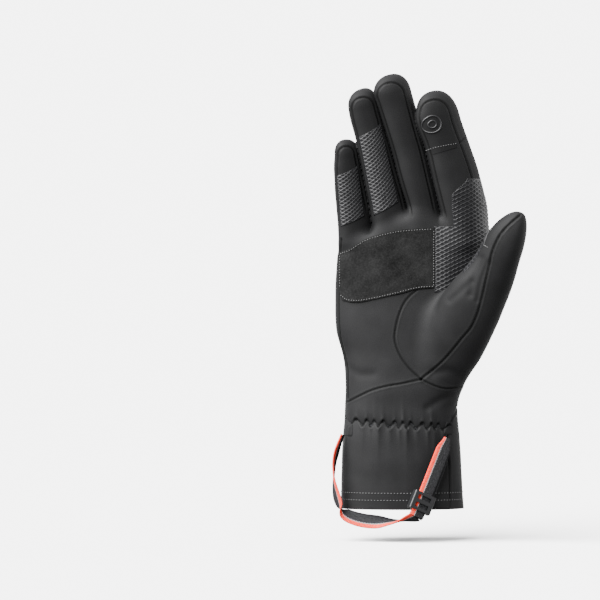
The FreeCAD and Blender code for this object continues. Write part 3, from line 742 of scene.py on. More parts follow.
def grip_print():
    """Silicone lines on a dark ground: raised says where the lines are, and a painted highlight how much light they
    catch.
    """
    material, nodes, links, shader = new_material("grip_print", 0.4, specular=0.03)
    wear = place_noise(nodes, links, 420, 4)
    line = ramp(nodes, links, wear, 0.3, (0.0042, 0.0042, 0.0043), 0.7, (0.0088, 0.0088, 0.009))
    # Painted highlight: the lines are lighter where light would catch them.
    share = maths(nodes, links, "MULTIPLY", channel(nodes, "raised"), channel(nodes, "shine"))
    colour = mixed(nodes, links, share, (0.0008, 0.0008, 0.0009, 1), line)
    links.new(colour, shader.inputs["Base Color"])
    bumped(nodes, links, shader, [(place_noise(nodes, links, 1500, 3), 0.4, 0.0002)])
    return material


def fleece():
    """The tufted lining."""
    material, nodes, links, shader = new_material("fleece", 0.95, specular=0.01)
    tufts = place_noise(nodes, links, 420, 6, 0.75)
    colour = ramp(nodes, links, tufts, 0.3, (0.001, 0.001, 0.0011), 0.75, (0.0045, 0.0045, 0.0048))
    links.new(colour, shader.inputs["Base Color"])
    bumped(nodes, links, shader, [(tufts, 0.8, 0.0012)])
    return material


def plain(name, dark, light, roughness, scale, depth=0.0002, specular=0.02):
    """One colour that drifts a little, with a fine grain: thread, ink and moulded plastic."""
    material, nodes, links, shader = new_material(name, roughness, specular)
    grain = place_noise(nodes, links, scale)
    links.new(ramp(nodes, links, grain, 0.3, dark, 0.7, light), shader.inputs["Base Color"])
    bumped(nodes, links, shader, [(grain, 0.35, depth)])
    return material


# The tape's coral edge ends here, on its width from -1 to 1, and a pale line of this width follows it.
CORAL_EDGE, PALE_LINE, RIB_PITCH = -0.42, 0.13, 0.8


def webbing():
    """Woven tape: black ribs, a coral edge and a fine pale zigzag between them."""
    material, nodes, links, shader = new_material("webbing", 0.75, specular=0.015)
    across, along = channel(nodes, "across"), channel(nodes, "along")
    zigzag = maths(nodes, links, "MULTIPLY", maths(nodes, links, "PINGPONG", along, 0.9), 0.09)
    wavy = maths(nodes, links, "ADD", across, zigzag)
    coral_share = maths(nodes, links, "LESS_THAN", wavy, CORAL_EDGE)
    past_coral = maths(nodes, links, "GREATER_THAN", wavy, CORAL_EDGE)
    before_black = maths(nodes, links, "LESS_THAN", wavy, CORAL_EDGE + PALE_LINE)
    line_share = maths(nodes, links, "MULTIPLY", past_coral, before_black)
    ribs = maths(nodes, links, "SINE", maths(nodes, links, "MULTIPLY", along, 2 * math.pi / RIB_PITCH))
    grain = place_noise(nodes, links, 1400, 3)
    black = ramp(nodes, links, grain, 0.3, (0.0009, 0.0009, 0.001), 0.7, (0.0034, 0.0034, 0.0036))
    coral = ramp(nodes, links, grain, 0.3, (0.06, 0.0035, 0.002), 0.7, (0.13, 0.009, 0.005))
    colour = mixed(nodes, links, coral_share, black, coral)
    colour = mixed(nodes, links, line_share, colour, (0.03, 0.03, 0.03, 1))
    links.new(colour, shader.inputs["Base Color"])
    bumped(nodes, links, shader, [(ribs, 0.5, 0.00025), (grain, 0.4, 0.0002)])
    return material


MATERIALS = {
    "softshell": softshell("softshell", (0.0010, 0.0010, 0.00103), (0.0014, 0.0014, 0.00144)),
    # A darker copy of the fabric: painted shade on the walls between the fingers, own tone of the touch patch and the
    # tape's tabs.
    "softshell_side": softshell("softshell_side", (0.0008, 0.0008, 0.00083), (0.0011, 0.0011, 0.00113)),
    "suede": suede(),
    "grip": grip_print(),
    "fleece": fleece(),
    "thread": plain("thread", (0.009, 0.009, 0.009), (0.018, 0.018, 0.018), 0.6, 3000),
    "print": plain("print", (0.1, 0.1, 0.1), (0.13, 0.13, 0.13), 0.55, 800),
    "webbing": webbing(),
    "plastic": plain("plastic", (0.0007, 0.0007, 0.0008), (0.0012, 0.0012, 0.0013), 0.42, 1200,
                     depth=0.0001, specular=0.05),
    "elastic": plain("elastic", (0.001, 0.001, 0.001), (0.003, 0.003, 0.003), 0.8, 1500, 0.0004),
}


# ---------------------------------------------------------------- joints
# Along each finger's bone: the joint, and half the length that folds.
JOINT_AT = {"index": 44.6, "middle": 49.5, "ring": 40.7, "little": 28.1}
FOLD_HALF = {"index": 12.2, "middle": 11.2, "ring": 10.7, "little": 9.5}
WRIST_FOLD = ((0, 0, 62 * MM), (0, 0, 92 * MM))
KNUCKLE_FOLD = ((0, 0, 157 * MM), (0, 0, 183 * MM))
THUMB_BASE_FOLD = (39, 53)
THUMB_TIP_FOLD = (79.2, 96.8)
# Where the shell is cut into pieces: heights, and distances along the thumb.
LOWER_CUT, THUMB_CUT, THUMB_MIDDLE_CUT = 120.0, 38.0, 66.0
FINGER_CUT = {"index": 198.0, "middle": 198.0, "ring": 198.0, "little": 189.0}


def bend_wrist(obj):
    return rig.blend(obj, "cuff", "hand", *WRIST_FOLD)


def bend_knuckles(obj):
    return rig.blend(obj, "hand", "fingers", *KNUCKLE_FOLD)


def bend_finger(obj, name):
    digit, joint, half = digits[name], JOINT_AT[name], FOLD_HALF[name]
    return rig.blend(obj, "fingers", f"{name}_tip", digit.point(joint - half), digit.point(joint + half))


def bend_thumb_base(obj):
    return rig.blend(obj, "hand", "thumb_base", *(thumb.point(s) for s in THUMB_BASE_FOLD))


def bend_thumb_tip(obj):
    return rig.blend(obj, "thumb_base", "thumb_tip", *(thumb.point(s) for s in THUMB_TIP_FOLD))


def dress(obj, slot, *nodes):
    """Gives a piece its slot, and names the CAD nodes whose place it takes."""
    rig.slot(obj, slot)
    if nodes:
        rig.replaces(obj, *nodes)
    return obj


# ---------------------------------------------------------------- the sewn shell
SHELL_NODES = {
    ("lower", "palm"): ("cuff_palm_panel", "wrist_band_palm", "hand_palm_panel", "thumb_gusset",
                        "thumb_root_band"),
    ("lower", "back"): ("cuff_back_panel", "wrist_band_back"),
    ("upper", "palm"): ("knuckle_band_palm", "finger_crotch_gusset", *(f"{f}_base_palm" for f in FINGERS)),
    ("upper", "back"): ("hand_back_panel", "radial_side_gusset", "knuckle_band_back", "index_side_gusset",
                        "little_ring_fourchettes", "ring_middle_fourchettes", "middle_index_fourchettes",
                        *(f"{f}_base_back" for f in FINGERS)),
    ("thumb_base", "palm"): ("thumb_base_palm", "thumb_knuckle_band"),
    ("thumb_base", "back"): ("thumb_base_back",),
    ("thumb_tip", "palm"): ("thumb_tip_palm",),
    ("thumb_tip", "back"): ("thumb_tip_back",),
    **{(f, "palm"): (f"{f}_tip_palm", f"{f}_knuckle_band") for f in FINGERS},
    **{(f, "back"): (f"{f}_tip_back",) for f in FINGERS},
}


def build_shell():
    """The fabric, cut into pieces that each bend at one joint, and along the line between palm and back."""
    form, form_normals, faces = glove_surface()
    # dark is painted shade for the seams' grooves and the elastic's pinch.
    seams, dark = seam_grooves_and_shade(form, form_normals)
    points = form + form_normals * (soft_folds(form, form_normals) + seams)[:, None]
    points[points[:, 2] < 0, 2] = 0.0
    normals = smooth_normals(points, faces)
    centres = form[faces].mean(1)
    rear = form_normals[faces].mean(1)[:, 1] > 0
    nearest = np.argmin([digits[name].field(centres) for name in FINGERS], 0)
    s_thumb = thumb.local(centres)[2]
    is_thumb = (thumb.field(centres) < hand_field(centres)) & (s_thumb > THUMB_CUT)
    zones = {"thumb_base": is_thumb & (s_thumb <= THUMB_MIDDLE_CUT),
             "thumb_tip": is_thumb & (s_thumb > THUMB_MIDDLE_CUT)}
    for number, name in enumerate(FINGERS):
        zones[name] = ~is_thumb & (nearest == number) & (centres[:, 2] > FINGER_CUT[name])
    rest = ~np.any(list(zones.values()), axis=0)
    zones["lower"] = rest & (centres[:, 2] < LOWER_CUT)
    zones["upper"] = rest & (centres[:, 2] >= LOWER_CUT)
    bends = {"lower": bend_wrist, "upper": bend_knuckles,
             "thumb_base": bend_thumb_base, "thumb_tip": bend_thumb_tip}
    for zone, wanted in zones.items():
        for side, half in (("palm", wanted & ~rear), ("back", wanted & rear)):
            used, small = part_of(faces, half)
            piece = new_piece(f"{zone}_{side}_shell", points[used], small, MATERIALS["softshell"],
                              {"painted_seam_shade": dark[used]}, normals[used])
            if zone in bends:
                bends[zone](piece)
            else:
                bend_finger(piece, zone)
            dress(piece, "softshell", *SHELL_NODES[zone, side])


build_shell()


# ---------------------------------------------------------------- lining, hem and elastic
RING_TURNS = 160


def tube_points(heights, inset, turns=RING_TURNS):
    """Rings inside the hand's own section, an inset in from its surface."""
    angle = np.linspace(0, 2 * math.pi, turns, endpoint=False)
    z = np.repeat(heights, turns)
    angle = np.tile(angle, len(heights))
    left, right, depth = (curve(HAND, c, z) for c in (1, 2, 3))
    inset = np.repeat(np.broadcast_to(inset, len(heights)), turns)
    n = 2 / HAND_ROUNDNESS
    x = (left + right) / 2 + ((right - left) / 2 - inset) * squared(np.cos(angle), n)
    y = (depth - inset) * squared(np.sin(angle), n)
    return np.column_stack([x, y, z])


def ring_tube(name, heights, insets, slot, *nodes, ruffle=0.0):
    """A tube of rings in the hand's section; ruffle makes it a little uneven all round."""
    points = tube_points(heights, insets)
    if ruffle:
        angle = np.tile(np.arange(RING_TURNS), len(heights))
        points[:, :2] *= 1 + ruffle * np.cos(angle * 2 * math.pi / 5)[:, None]
    piece = new_piece(name, points, grid_faces(len(heights), RING_TURNS, closed=True), MATERIALS[slot])
    return dress(piece, slot, *nodes)


def build_cuff_inside():
    """The turned-up hem, the fleece lining and the elastic behind it."""
    hem_turn, hem_half = np.linspace(0, math.pi, 9), 0.9
    hem_heights = np.r_[7, hem_half - hem_half * np.sin(hem_turn), 4, 13]
    hem_insets = np.r_[0.35, hem_half - hem_half * np.cos(hem_turn) * 0.75, 1.75, 1.9]
    hem = ring_tube("hem_fold", hem_heights, hem_insets, "softshell", "cuff_hem_facing")
    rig.ride(hem, "cuff")
    lining_heights = np.r_[np.linspace(11, 112, 24), 114, 115]
    lining_insets = np.r_[np.full(24, 1.7), 8, 18]
    bend_wrist(ring_tube("fleece_lining", lining_heights, lining_insets, "fleece"))
    elastic = ring_tube("elastic_band", np.linspace(53, 61, 9), np.full(9, 2.2), "elastic", "wrist_elastic",
                        ruffle=0.006)
    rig.ride(elastic, "cuff")


build_cuff_inside()


# ---------------------------------------------------------------- patches laid on the shell
def wall(points, normals, rows, columns, drop):
    """Adds a skirt round a grid patch, so that its edge goes down into the fabric."""
    index = np.arange(rows * columns).reshape(rows, columns)
    rim = np.r_[index[0, :-1], index[:-1, -1], index[-1, :0:-1], index[:0:-1, 0]]
    skirt = points[rim] - normals[rim] * drop
    first = rows * columns
    following = np.roll(np.arange(len(rim)), -1)
    faces = np.column_stack([rim, first + np.arange(len(rim)), first + following, rim[following]])
    return rim, skirt, faces


def patch(name, base, normals, rows, columns, lift, material, channels=None):
    """A thin patch on the shell from a grid of points of the bare form."""
    top = draped(base, normals, lift)
    rim, skirt, side = wall(top, normals, rows, columns, 1.0)
    faces = np.vstack([grid_faces(rows, columns), side])
    points = np.vstack([top, skirt])
    numbers = {key: np.r_[values, values[rim]] for key, values in (channels or {}).items()}
    return new_piece(name, points, faces, material, numbers)


def facing_points(x, z, field=hand_field, heading=-1.0):
    """Points of the form straight in front of X and Z, or behind them with heading 1, and their normals."""
    x, z = np.ravel(x), np.ravel(z)
    origins = np.column_stack([x, np.full(len(x), min(heading, 0.0)), z])
    points = trace(field, origins, np.tile([0.0, heading, 0.0], (len(x), 1)), 66)
    return points, normals_of(field, points)


def around_digit(digit, angle, s):
    """Points of a finger at an angle from its palm side (positive towards +X), and their normals."""
    angle, s = np.ravel(angle), np.ravel(s)
    headings = np.sin(angle)[:, None] * digit.across - np.cos(angle)[:, None] * digit.back
    points = trace(digit.field, digit.root + s[:, None] * digit.along, headings, 22)
    return points, normals_of(digit.field, points)


def chain_lines(along, across, row_pitch, wave_length, swing, half_width):
    """Wavy lines that run across and swap phase row by row, so that pairs of them make lens-shaped cells."""
    row, turn = np.floor(along / row_pitch), 2 * math.pi / wave_length
    best = np.full(np.shape(along), 9.0)
    for step in (-1, 0, 1, 2):
        k = row + step
        line = k * row_pitch + swing * np.where(k % 2 == 0, 1, -1) * np.cos(turn * across)
        slope = swing * turn * np.sin(turn * across)
        best = np.minimum(best, np.abs(along - line) / np.sqrt(1 + slope * slope))
    return 1 - blended_step(best, half_width * 0.55, half_width * 1.45)


# Grip prints: pitch of the lines, length of a wave, its swing, half width of a line.
WIDE_CHAIN = (1.33, 5.4, 0.56, 0.2)
FINE_CHAIN = (1.22, 4.1, 0.45, 0.19)


def inside_edge(rows, columns, step, border=0.9, joined=""):
    """Nothing at the free border of a grid patch, one inside it; joined names rows that run on."""
    r, c = net(np.arange(rows), np.arange(columns))
    away = np.minimum(c, columns - 1 - c)
    if "bottom" not in joined:
        away = np.minimum(away, r)
    if "top" not in joined:
        away = np.minimum(away, rows - 1 - r)
    return np.ravel(blended_step(away * step, border * 0.6, border * 1.4))


def grip_sheet(name, surface, shape, raised, shine, ground, relief):
    """A sheet of printed grip on a grid of surface points: raised lines above a thin ground."""
    lift = ground + relief * raised
    return patch(name, *surface, *shape, lift, MATERIALS["grip"], {"raised": raised, "shine": shine})


# Edges of the suede patch, in X and Z.
SUEDE_LEFT, SUEDE_RIGHT = -41.4, 20.5
SUEDE_TOP = np.array([(-41.4, 167.0), (-34, 170), (-26.2, 174.6), (-16, 178.6), (-5.2, 181.3), (8, 182.7),
                      (20.3, 183.3)])
SUEDE_BOTTOM = np.array([(-41.4, 143.5), (-40.2, 138.5), (-36.5, 135.6), (-31, 134.8), (-18, 136.6),
                         (-4, 139.8), (10, 143.2), (20.3, 144)])


def build_suede():
    """The suede patch across the palm."""
    columns, rows = detail(90, 170), detail(56, 110)
    share, x = net(np.linspace(0, 1, rows), np.linspace(SUEDE_LEFT, SUEDE_RIGHT, columns))
    z = curve(SUEDE_BOTTOM, 1, x) * (1 - share) + curve(SUEDE_TOP, 1, x) * share
    base, normals = facing_points(x, z)
    lift = 0.75 + 0.12 * waves(base, 9, 21) + 0.3 * waves(base, 26, 22)
    piece = patch("suede_overlay", base, normals, rows, columns, lift, MATERIALS["suede"])
    bend_knuckles(piece)
    dress(piece, "suede", "palm_suede_patch")


# Palm grip: its width is measured along the skin, from its left edge round the thumb side.
GRIP_LEFT, GRIP_TURN_X, GRIP_TURN_RADIUS = 20.5, 43.0, 13.0
GRIP_WIDTH = 45.0
# Heights where the grip begins, passes on to the index finger, meets its tip's piece, and ends.
GRIP_FOOT, GRIP_KNUCKLE, GRIP_BEND, GRIP_TOP = 141.0, 184.0, 198.0, 215.5


def side_points(width, z, field):
    """Points at a width along the skin from the grip's left edge: flat first, then round the thumb side."""
    width, z = np.ravel(width), np.ravel(z)
    flat = np.minimum(width, GRIP_TURN_X - GRIP_LEFT)
    turn = (width - flat) / GRIP_TURN_RADIUS
    origins = np.column_stack([GRIP_LEFT + flat, np.zeros(len(z)), z])
    headings = np.column_stack([np.sin(turn), -np.cos(turn), np.zeros(len(z))])
    points = trace(field, origins, headings, 30)
    return points, normals_of(field, points)


def build_side_grip():
    """The grip print beside the thumb: one print, cut where the fingers and the index tip begin to bend."""
    step = detail(0.5, 0.27)

    def sheet(name, low, high, joined, left, right):
        rows, columns = int((high - low) / step), int(GRIP_WIDTH / step)
        share_up, share_across = net(np.linspace(0, 1, rows), np.linspace(0, 1, columns))
        z = low + (high - low) * share_up
        width = left(z) + (right(z) - left(z)) * share_across
        surface = side_points(width, z, hand_field)
        z, width = np.ravel(z), np.ravel(width)
        raised = chain_lines(z, width, *WIDE_CHAIN) * inside_edge(rows, columns, step, joined=joined)
        # Painted highlight: the lines are light at both edges of the print and dim across its middle.
        shine = 1 - 0.78 * blended_step(width, 4, 11) * (1 - blended_step(width, 24, 30))
        return grip_sheet(name, surface, (rows, columns), raised, shine, 0.3, 0.3)

    def left_edge(z):
        return 0 * z

    def left_edge_on_index(z):
        return 12.5 - 1.2 * blended_step(z, 184, 196)

    def left_edge_at_top(z):
        return 11.3 + 10.5 * blended_step(z, 203, 216)

    def right_edge(z):
        return GRIP_WIDTH + 0 * z

    def right_edge_at_top(z):
        return GRIP_WIDTH - 5.5 * blended_step(z, 198, 212)

    palm = sheet("palm_grip_lines", GRIP_FOOT, GRIP_KNUCKLE, "top", left_edge, right_edge)
    bend_knuckles(palm)
    dress(palm, "grip", "palm_grip_print")
    lower = sheet("index_grip_lines", GRIP_KNUCKLE, GRIP_BEND, "bottom top", left_edge_on_index, right_edge)
    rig.ride(lower, "fingers")
    dress(lower, "grip", "index_grip_panel")
    upper = sheet("index_grip_lines_top", GRIP_BEND, GRIP_TOP, "bottom", left_edge_at_top, right_edge_at_top)
    bend_finger(upper, "index")
    dress(upper, "grip")


def build_finger_grips():
    """The narrow prints on the ring and little fingers; their ends lean."""
    step, lean = detail(0.5, 0.25), 0.275
    # Name, start and end along the bone, angles of the left and right edge.
    for name, low, high, start, end in (("ring", 21.0, 73.0, -0.8, 0.85),
                                        ("little", 12.5, 45.5, -0.78, 0.95)):
        digit = digits[name]
        radius = digit.widths(40.0)[1]
        rows, columns = int((high - low) / step), int((end - start) * radius / step)
        s, angle = net(np.linspace(low, high, rows), np.linspace(start, end, columns))
        s = s + lean * angle * radius
        surface = around_digit(digit, angle, s)
        s, angle = np.ravel(s), np.ravel(angle)
        raised = chain_lines(s, angle * radius, *FINE_CHAIN) * inside_edge(rows, columns, step, 0.4)
        # Painted highlight: the lines are lighter towards the print's left edge, where the key light falls.
        shine = 1 - 0.6 * blended_step(angle, start + 0.3, end - 0.2)
        piece = grip_sheet(f"{name}_grip_lines", surface, (rows, columns), raised, shine, 0.25, 0.28)
        bend_finger(piece, name)
        dress(piece, "grip", f"{name}_grip_print")


def build_thumb_pad():
    """The dark mesh pad on the side of the thumb that faces the index finger; it narrows to its end."""
    step, radius = detail(0.5, 0.3), 13.5
    low, high, start, end = 70.0, 108.0, -3.3, -1.25
    rows, columns = int((high - low) / step), int((end - start) * radius / step)
    s, angle = net(np.linspace(low, high, rows), np.linspace(start, end, columns))
    angle = start + (angle - start) * (1 - 0.45 * blended_step(s, 92, 110))
    surface = around_digit(thumb, angle, s)
    lines = chain_lines(np.ravel(s), np.ravel(angle * radius), *WIDE_CHAIN)
    raised = lines * inside_edge(rows, columns, step)
    # The painted highlight is low and even on this pad.
    shine = np.full(rows * columns, 0.4)
    piece = grip_sheet("thumb_pad_mesh", surface, (rows, columns), raised, shine, 0.3, 0.28)
    bend_thumb_tip(piece)
    dress(piece, "grip", "thumb_grip_pad")


def build_fourchettes():
    """The walls between the fingers, just under the shell: they show when one finger bends away. Their darker fabric
    is painted shade.
    """
    rows, columns = detail(60, 110), detail(24, 44)
    for name, sides in (("index", ("left",)), ("middle", ("left", "right")), ("ring", ("left", "right")),
                        ("little", ("right",))):
        digit = digits[name]
        for side in sides:
            edges = (-2.8, -0.35) if side == "left" else (0.35, 2.8)
            s, angle = net(np.linspace(14, digit.length - 5, rows), np.linspace(*edges, columns))
            base, normals = around_digit(digit, angle, s)
            points = draped(base, normals, -0.7)
            piece = new_piece(f"{name}_{side}_fourchette", points, grid_faces(rows, columns),
                              MATERIALS["softshell_side"], {"painted_seam_shade": np.zeros(len(points))})
            bend_finger(piece, name)
            dress(piece, "softshell_side")


build_fourchettes()
build_suede()
build_side_grip()
build_finger_grips()
build_thumb_pad()


# ---------------------------------------------------------------- touch patch, emblem, marks
def ridge_ring(name, points, normals, radius):
    """A raised round line that follows a closed row of points on the shell."""
    count, sides, sink = len(points), 8, 0.3
    tangent = unit_rows(np.roll(points, -1, 0) - np.roll(points, 1, 0))
    across = unit_rows(np.cross(tangent, normals))
    angle = np.linspace(0, 2 * math.pi, sides, endpoint=False)[None, :, None]
    ring = points[:, None] + radius * (np.cos(angle) * across[:, None]
                                       + (np.sin(angle) - sink) * normals[:, None])
    faces = grid_faces(count + 1, sides, closed=True) % (count * sides)
    return new_piece(name, ring.reshape(-1, 3), faces, MATERIALS["plastic"])


def build_touch_details():
    """A plain ring and core on the index fingertip, and the cloth patch round them."""
    index, radius = digits["index"], 12.0
    centre_s, centre_u = 79.9, -5.0
    turn = np.linspace(0, 2 * math.pi, 72, endpoint=False)
    for name, size, thick, nodes in (("touch_emblem_ring", 5.4, 0.62, ("touch_emblem",)),
                                     ("touch_emblem_core", 2.3, 0.6, ())):
        angle, s = (centre_u + size * np.cos(turn)) / radius, centre_s + size * np.sin(turn)
        points, normals = around_digit(index, angle, s)
        piece = ridge_ring(name, draped(points, normals, 0.35), normals, thick)
        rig.ride(piece, "index_tip")
        dress(piece, "grip", *nodes)
    rows, columns = 70, 60
    s, angle = net(np.linspace(61, 93.5, rows), np.linspace(-0.92, 0.62, columns))
    points, normals = around_digit(index, angle, s)
    faces = grid_faces(rows, columns)
    used, small = part_of(faces, (finger_outline(index, points) > 0.7)[faces].all(1))
    piece = new_piece("touch_patch_cloth", draped(points, normals, 0.22)[used], small,
                      MATERIALS["softshell_side"], {"painted_seam_shade": np.zeros(len(used))})
    bend_finger(piece, "index")
    dress(piece, "softshell_side", "index_touch_patch")


def stitches(name, points, normals, pitch, length, radius):
    """A row of stitches: short rounded bars that dip into the fabric at both ends."""
    along = distances(points)
    sides, shares = 6, np.linspace(-1, 1, 5)
    angle = np.linspace(0, 2 * math.pi, sides, endpoint=False)[None, :, None]
    size = radius * np.sqrt(np.clip(1 - 0.9 * shares ** 2, 0.05, 1))[:, None, None]
    dip = (0.35 * radius - 0.9 * radius * shares ** 2)[:, None]
    rings = []
    for number in range(max(1, int(along[-1] / pitch))):
        middle = (number + 0.5) * pitch
        where = np.clip(middle + shares * length / 2, 0, along[-1])
        line = np.column_stack([np.interp(where, along, points[:, c]) for c in range(3)])
        up = np.array([np.interp(middle, along, normals[:, c]) for c in range(3)])
        up /= np.linalg.norm(up)
        heading = line[-1] - line[0]
        across = np.cross(heading / max(np.linalg.norm(heading), 1e-9), up)
        rings.append((line + up * dip)[:, None] + size * (np.cos(angle) * across + np.sin(angle) * up))
    bar = grid_faces(len(shares), sides, closed=True)
    faces = [bar + number * len(shares) * sides for number in range(len(rings))]
    return new_piece(name, np.vstack(rings).reshape(-1, 3), np.vstack(faces), MATERIALS["thread"])


def front_row(name, line, lift, bend, pitch=1.75, length=0.85, field=hand_field):
    line = spread(line, 0.5)
    points, normals = facing_points(line[:, 0], line[:, 1], field)
    row = stitches(name, draped(points, normals, lift), normals, pitch, length, 0.25)
    bend(row)
    dress(row, "thread")


def build_stitching():
    """Stitches round the suede, along the touch patch, at the thumb's web and round the hem."""
    inset, on_suede = 1.1, 1.0
    top = SUEDE_TOP[1:] - (0, inset)
    front_row("suede_top_stitches", np.vstack([[-40.2, 166.4], top]), on_suede, bend_knuckles)
    bottom = SUEDE_BOTTOM[1:] + (0, inset)
    front_row("suede_bottom_stitches", bottom, on_suede, bend_knuckles)
    front_row("suede_side_stitches", [(20.0, 145), (20.1, 160), (20.2, 182.4)], on_suede, bend_knuckles)
    front_row("suede_end_stitches", [(-40.4, 144.5), (-40.4, 155), (-40.3, 165.6)], on_suede, bend_knuckles)
    front_row("touch_patch_stitches", [(15.4, 233.6), (22, 235.6), (29, 237), (35.6, 238.2)], 0.3,
              lambda row: bend_finger(row, "index"), field=digits["index"].field)
    front_row("wrist_bartack", [(51.4, 171.6), (54.4, 169.6)], 0.1, bend_thumb_tip, 0.8, 0.6, thumb.field)
    for name, height, nodes in (("low", 6.2, ("hem_stitching",)), ("high", 10.8, ())):
        ring = tube_points(np.array([height]), 0.0, 600)
        normals = normals_of(palm_field, ring)
        row = stitches(f"hem_stitches_{name}", draped(ring, normals, 0.05), normals, 2.1, 1.0, 0.25)
        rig.ride(row, "cuff")
        dress(row, "thread", *nodes)


def build_back_mark():
    """A plain pale mark on the back of the hand: a short bar with round ends and a small lozenge."""
    rows, columns = 16, 40
    up, across = net(np.linspace(-1, 1, rows), np.linspace(-1, 1, columns))
    for name, middle_x, half_x, middle_z, half_z, corner, nodes in (
            ("back_mark_bar", -19.5, 10.5, 147.5, 1.9, 1.9, ("back_print",)),
            ("back_mark_lozenge", -3.5, 3.0, 147.5, 3.0, 3.0, ())):
        away = np.clip((1 - np.abs(across)) * half_x / corner, 0, 1)
        share = np.sqrt(1 - (1 - away) ** 2) if corner < half_x else away
        base, normals = facing_points(middle_x + half_x * across,
                                      middle_z + half_z * up * np.maximum(share, 0.02), heading=1.0)
        piece = patch(name, base, normals, rows, columns, 0.2, MATERIALS["print"])
        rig.ride(piece, "hand")
        dress(piece, "print", *nodes)


build_touch_details()
build_stitching()
build_back_mark()


# ---------------------------------------------------------------- leash
STRAP_LOW = np.array([11.8, -30.6, 5.2])
STRAP_HIGH = np.array([28.4, -21.4, 46.0])
STRAP_WIDTH, STRAP_THICKNESS, STRAP_SPACING = 9.4, 1.3, 1.9
STRAP_START, STRAP_END = -10.0, 45.5
strap_along = (STRAP_HIGH - STRAP_LOW) / np.linalg.norm(STRAP_HIGH - STRAP_LOW)
strap_out = np.array([0.25, -0.97, 0.0])
strap_out -= strap_along * (strap_out @ strap_along)
strap_out /= np.linalg.norm(strap_out)
strap_across = np.cross(strap_out, strap_along)
# The loop's route, from the little-finger side of the wrist, under the hem and up to the slider, in metres.
ROUTE = [(-0.0390, -0.0108, 0.0485), (-0.0440, -0.0112, 0.036), (-0.0452, -0.013, 0.021),
         (-0.0428, -0.0145, 0.007), (-0.039, -0.016, -0.0030), (-0.0275, -0.018, -0.0072),
         (-0.014, -0.021, -0.0082), (-0.001, -0.0255, -0.0074), (0.00784, -0.03174, -0.00396)]


def route_line():
    """The smooth line that the loop follows, as points, read from its NURBS curve."""
    data = bpy.data.curves.new("leash_route", "CURVE")
    data.dimensions = "3D"
    data.resolution_u = 24
    spline = data.splines.new("NURBS")
    spline.points.add(len(ROUTE) - 1)
    for point, place in zip(spline.points, ROUTE):
        point.co = (*place, 1)
    spline.order_u = 3
    spline.use_endpoint_u = True
    carrier = bpy.data.objects.new("leash_route", data)
    mesh = bpy.data.meshes.new_from_object(carrier)
    line = np.array([v.co for v in mesh.vertices]) / MM
    bpy.data.objects.remove(carrier)
    return line


def ribbon(name, line, across, width, all_black=False):
    """A woven tape along a line: a flat bar with rounded edges; across gives its width direction."""
    count, sides = len(line), 40
    tangent = unit_rows(np.gradient(line, axis=0))
    across = unit_rows(across - tangent * np.sum(across * tangent, 1)[:, None])
    up = np.cross(tangent, across)
    angle = np.linspace(0, 2 * math.pi, sides, endpoint=False)
    flat, high = squared(np.cos(angle), 0.35), squared(np.sin(angle), 0.6)
    length = distances(line)
    half_width = width / 2
    half_height = STRAP_THICKNESS / 2 * (1 + 0.05 * np.cos(length * 2 * math.pi / RIB_PITCH))
    ring = (line[:, None] + across[:, None] * np.outer(half_width, flat)[:, :, None]
            + up[:, None] * np.outer(half_height, high)[:, :, None])
    points = np.vstack([ring.reshape(-1, 3), line[0], line[-1]])
    around, last_ring = np.arange(sides), (count - 1) * sides
    following = (around + 1) % sides
    low_cap = np.column_stack([np.full(sides, count * sides), following, around])
    top_cap = np.column_stack([np.full(sides, count * sides + 1), around + last_ring, following + last_ring])
    faces = grid_faces(count, sides, closed=True).tolist() + low_cap.tolist() + top_cap.tolist()
    colour_place = np.abs(flat) if all_black else flat
    channels = {"across": np.r_[np.tile(colour_place, count), 0, 0],
                "along": np.r_[np.repeat(length, sides), 0, length[-1]]}
    return new_piece(name, points, faces, MATERIALS["webbing"], channels)


# How the loop's width direction turns: share of its length, direction. The tape hangs edge-on at the side,
# turns over at the corner and lies flat under the hem.
LOOP_TURNS = np.array([(0, 0.55, 0.83, 0.0), (0.2, 0.05, 1.0, 0.0), (0.36, -0.5, 0.86, 0.0),
                       (0.54, 0.05, 0.5, 0.85), (0.74, 0.0, 0.4, 0.9), (0.86, 0.25, 0.9, 0.3),
                       (1, *(-strap_across))])


def build_leash():
    """The loop of tape, and the two layers above it that the slider rides on."""
    line = route_line()
    share = np.linspace(0, 1, len(line))
    across = np.column_stack([curve(LOOP_TURNS, c, share) for c in (1, 2, 3)])
    width = STRAP_WIDTH * (0.45 + 0.55 * blended_step(share, 0.0, 0.09))
    loop = ribbon("leash_loop_tape", line, across, width)
    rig.ride(loop, "leash")
    dress(loop, "webbing", "leash_webbing")
    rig.cord(loop, exit=ROUTE[0], length=round(float(distances(line)[-1] * MM), 3), diameter=STRAP_WIDTH * MM,
            far_end="object", stiffness="limp", lay="hanging", path=(line * MM).tolist())
    places = np.linspace(STRAP_START, STRAP_END, 90)
    bow = np.sin((places - STRAP_START) / (STRAP_END - STRAP_START) * math.pi)
    width = STRAP_WIDTH * (1 - 0.5 * blended_step(places, STRAP_END - 9, STRAP_END))
    # Name, place out from the strap's middle, bow outwards and sideways, colour.
    for name, shift, bow_out, bow_across, all_black in (
            ("leash_adjuster_strap", STRAP_SPACING / 2, 0.3, 0.0, False),
            ("leash_doubled_strap", -STRAP_SPACING / 2, 0.06, -2.2, True)):
        points = (STRAP_LOW + np.outer(places, strap_along) + np.outer(shift + bow_out * bow, strap_out)
                  + np.outer(bow_across * bow, strap_across))
        strap = ribbon(name + "_tape", points, np.tile(-strap_across, (90, 1)), width, all_black)
        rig.ride(strap, "leash")
        dress(strap, "webbing", name)


build_leash()


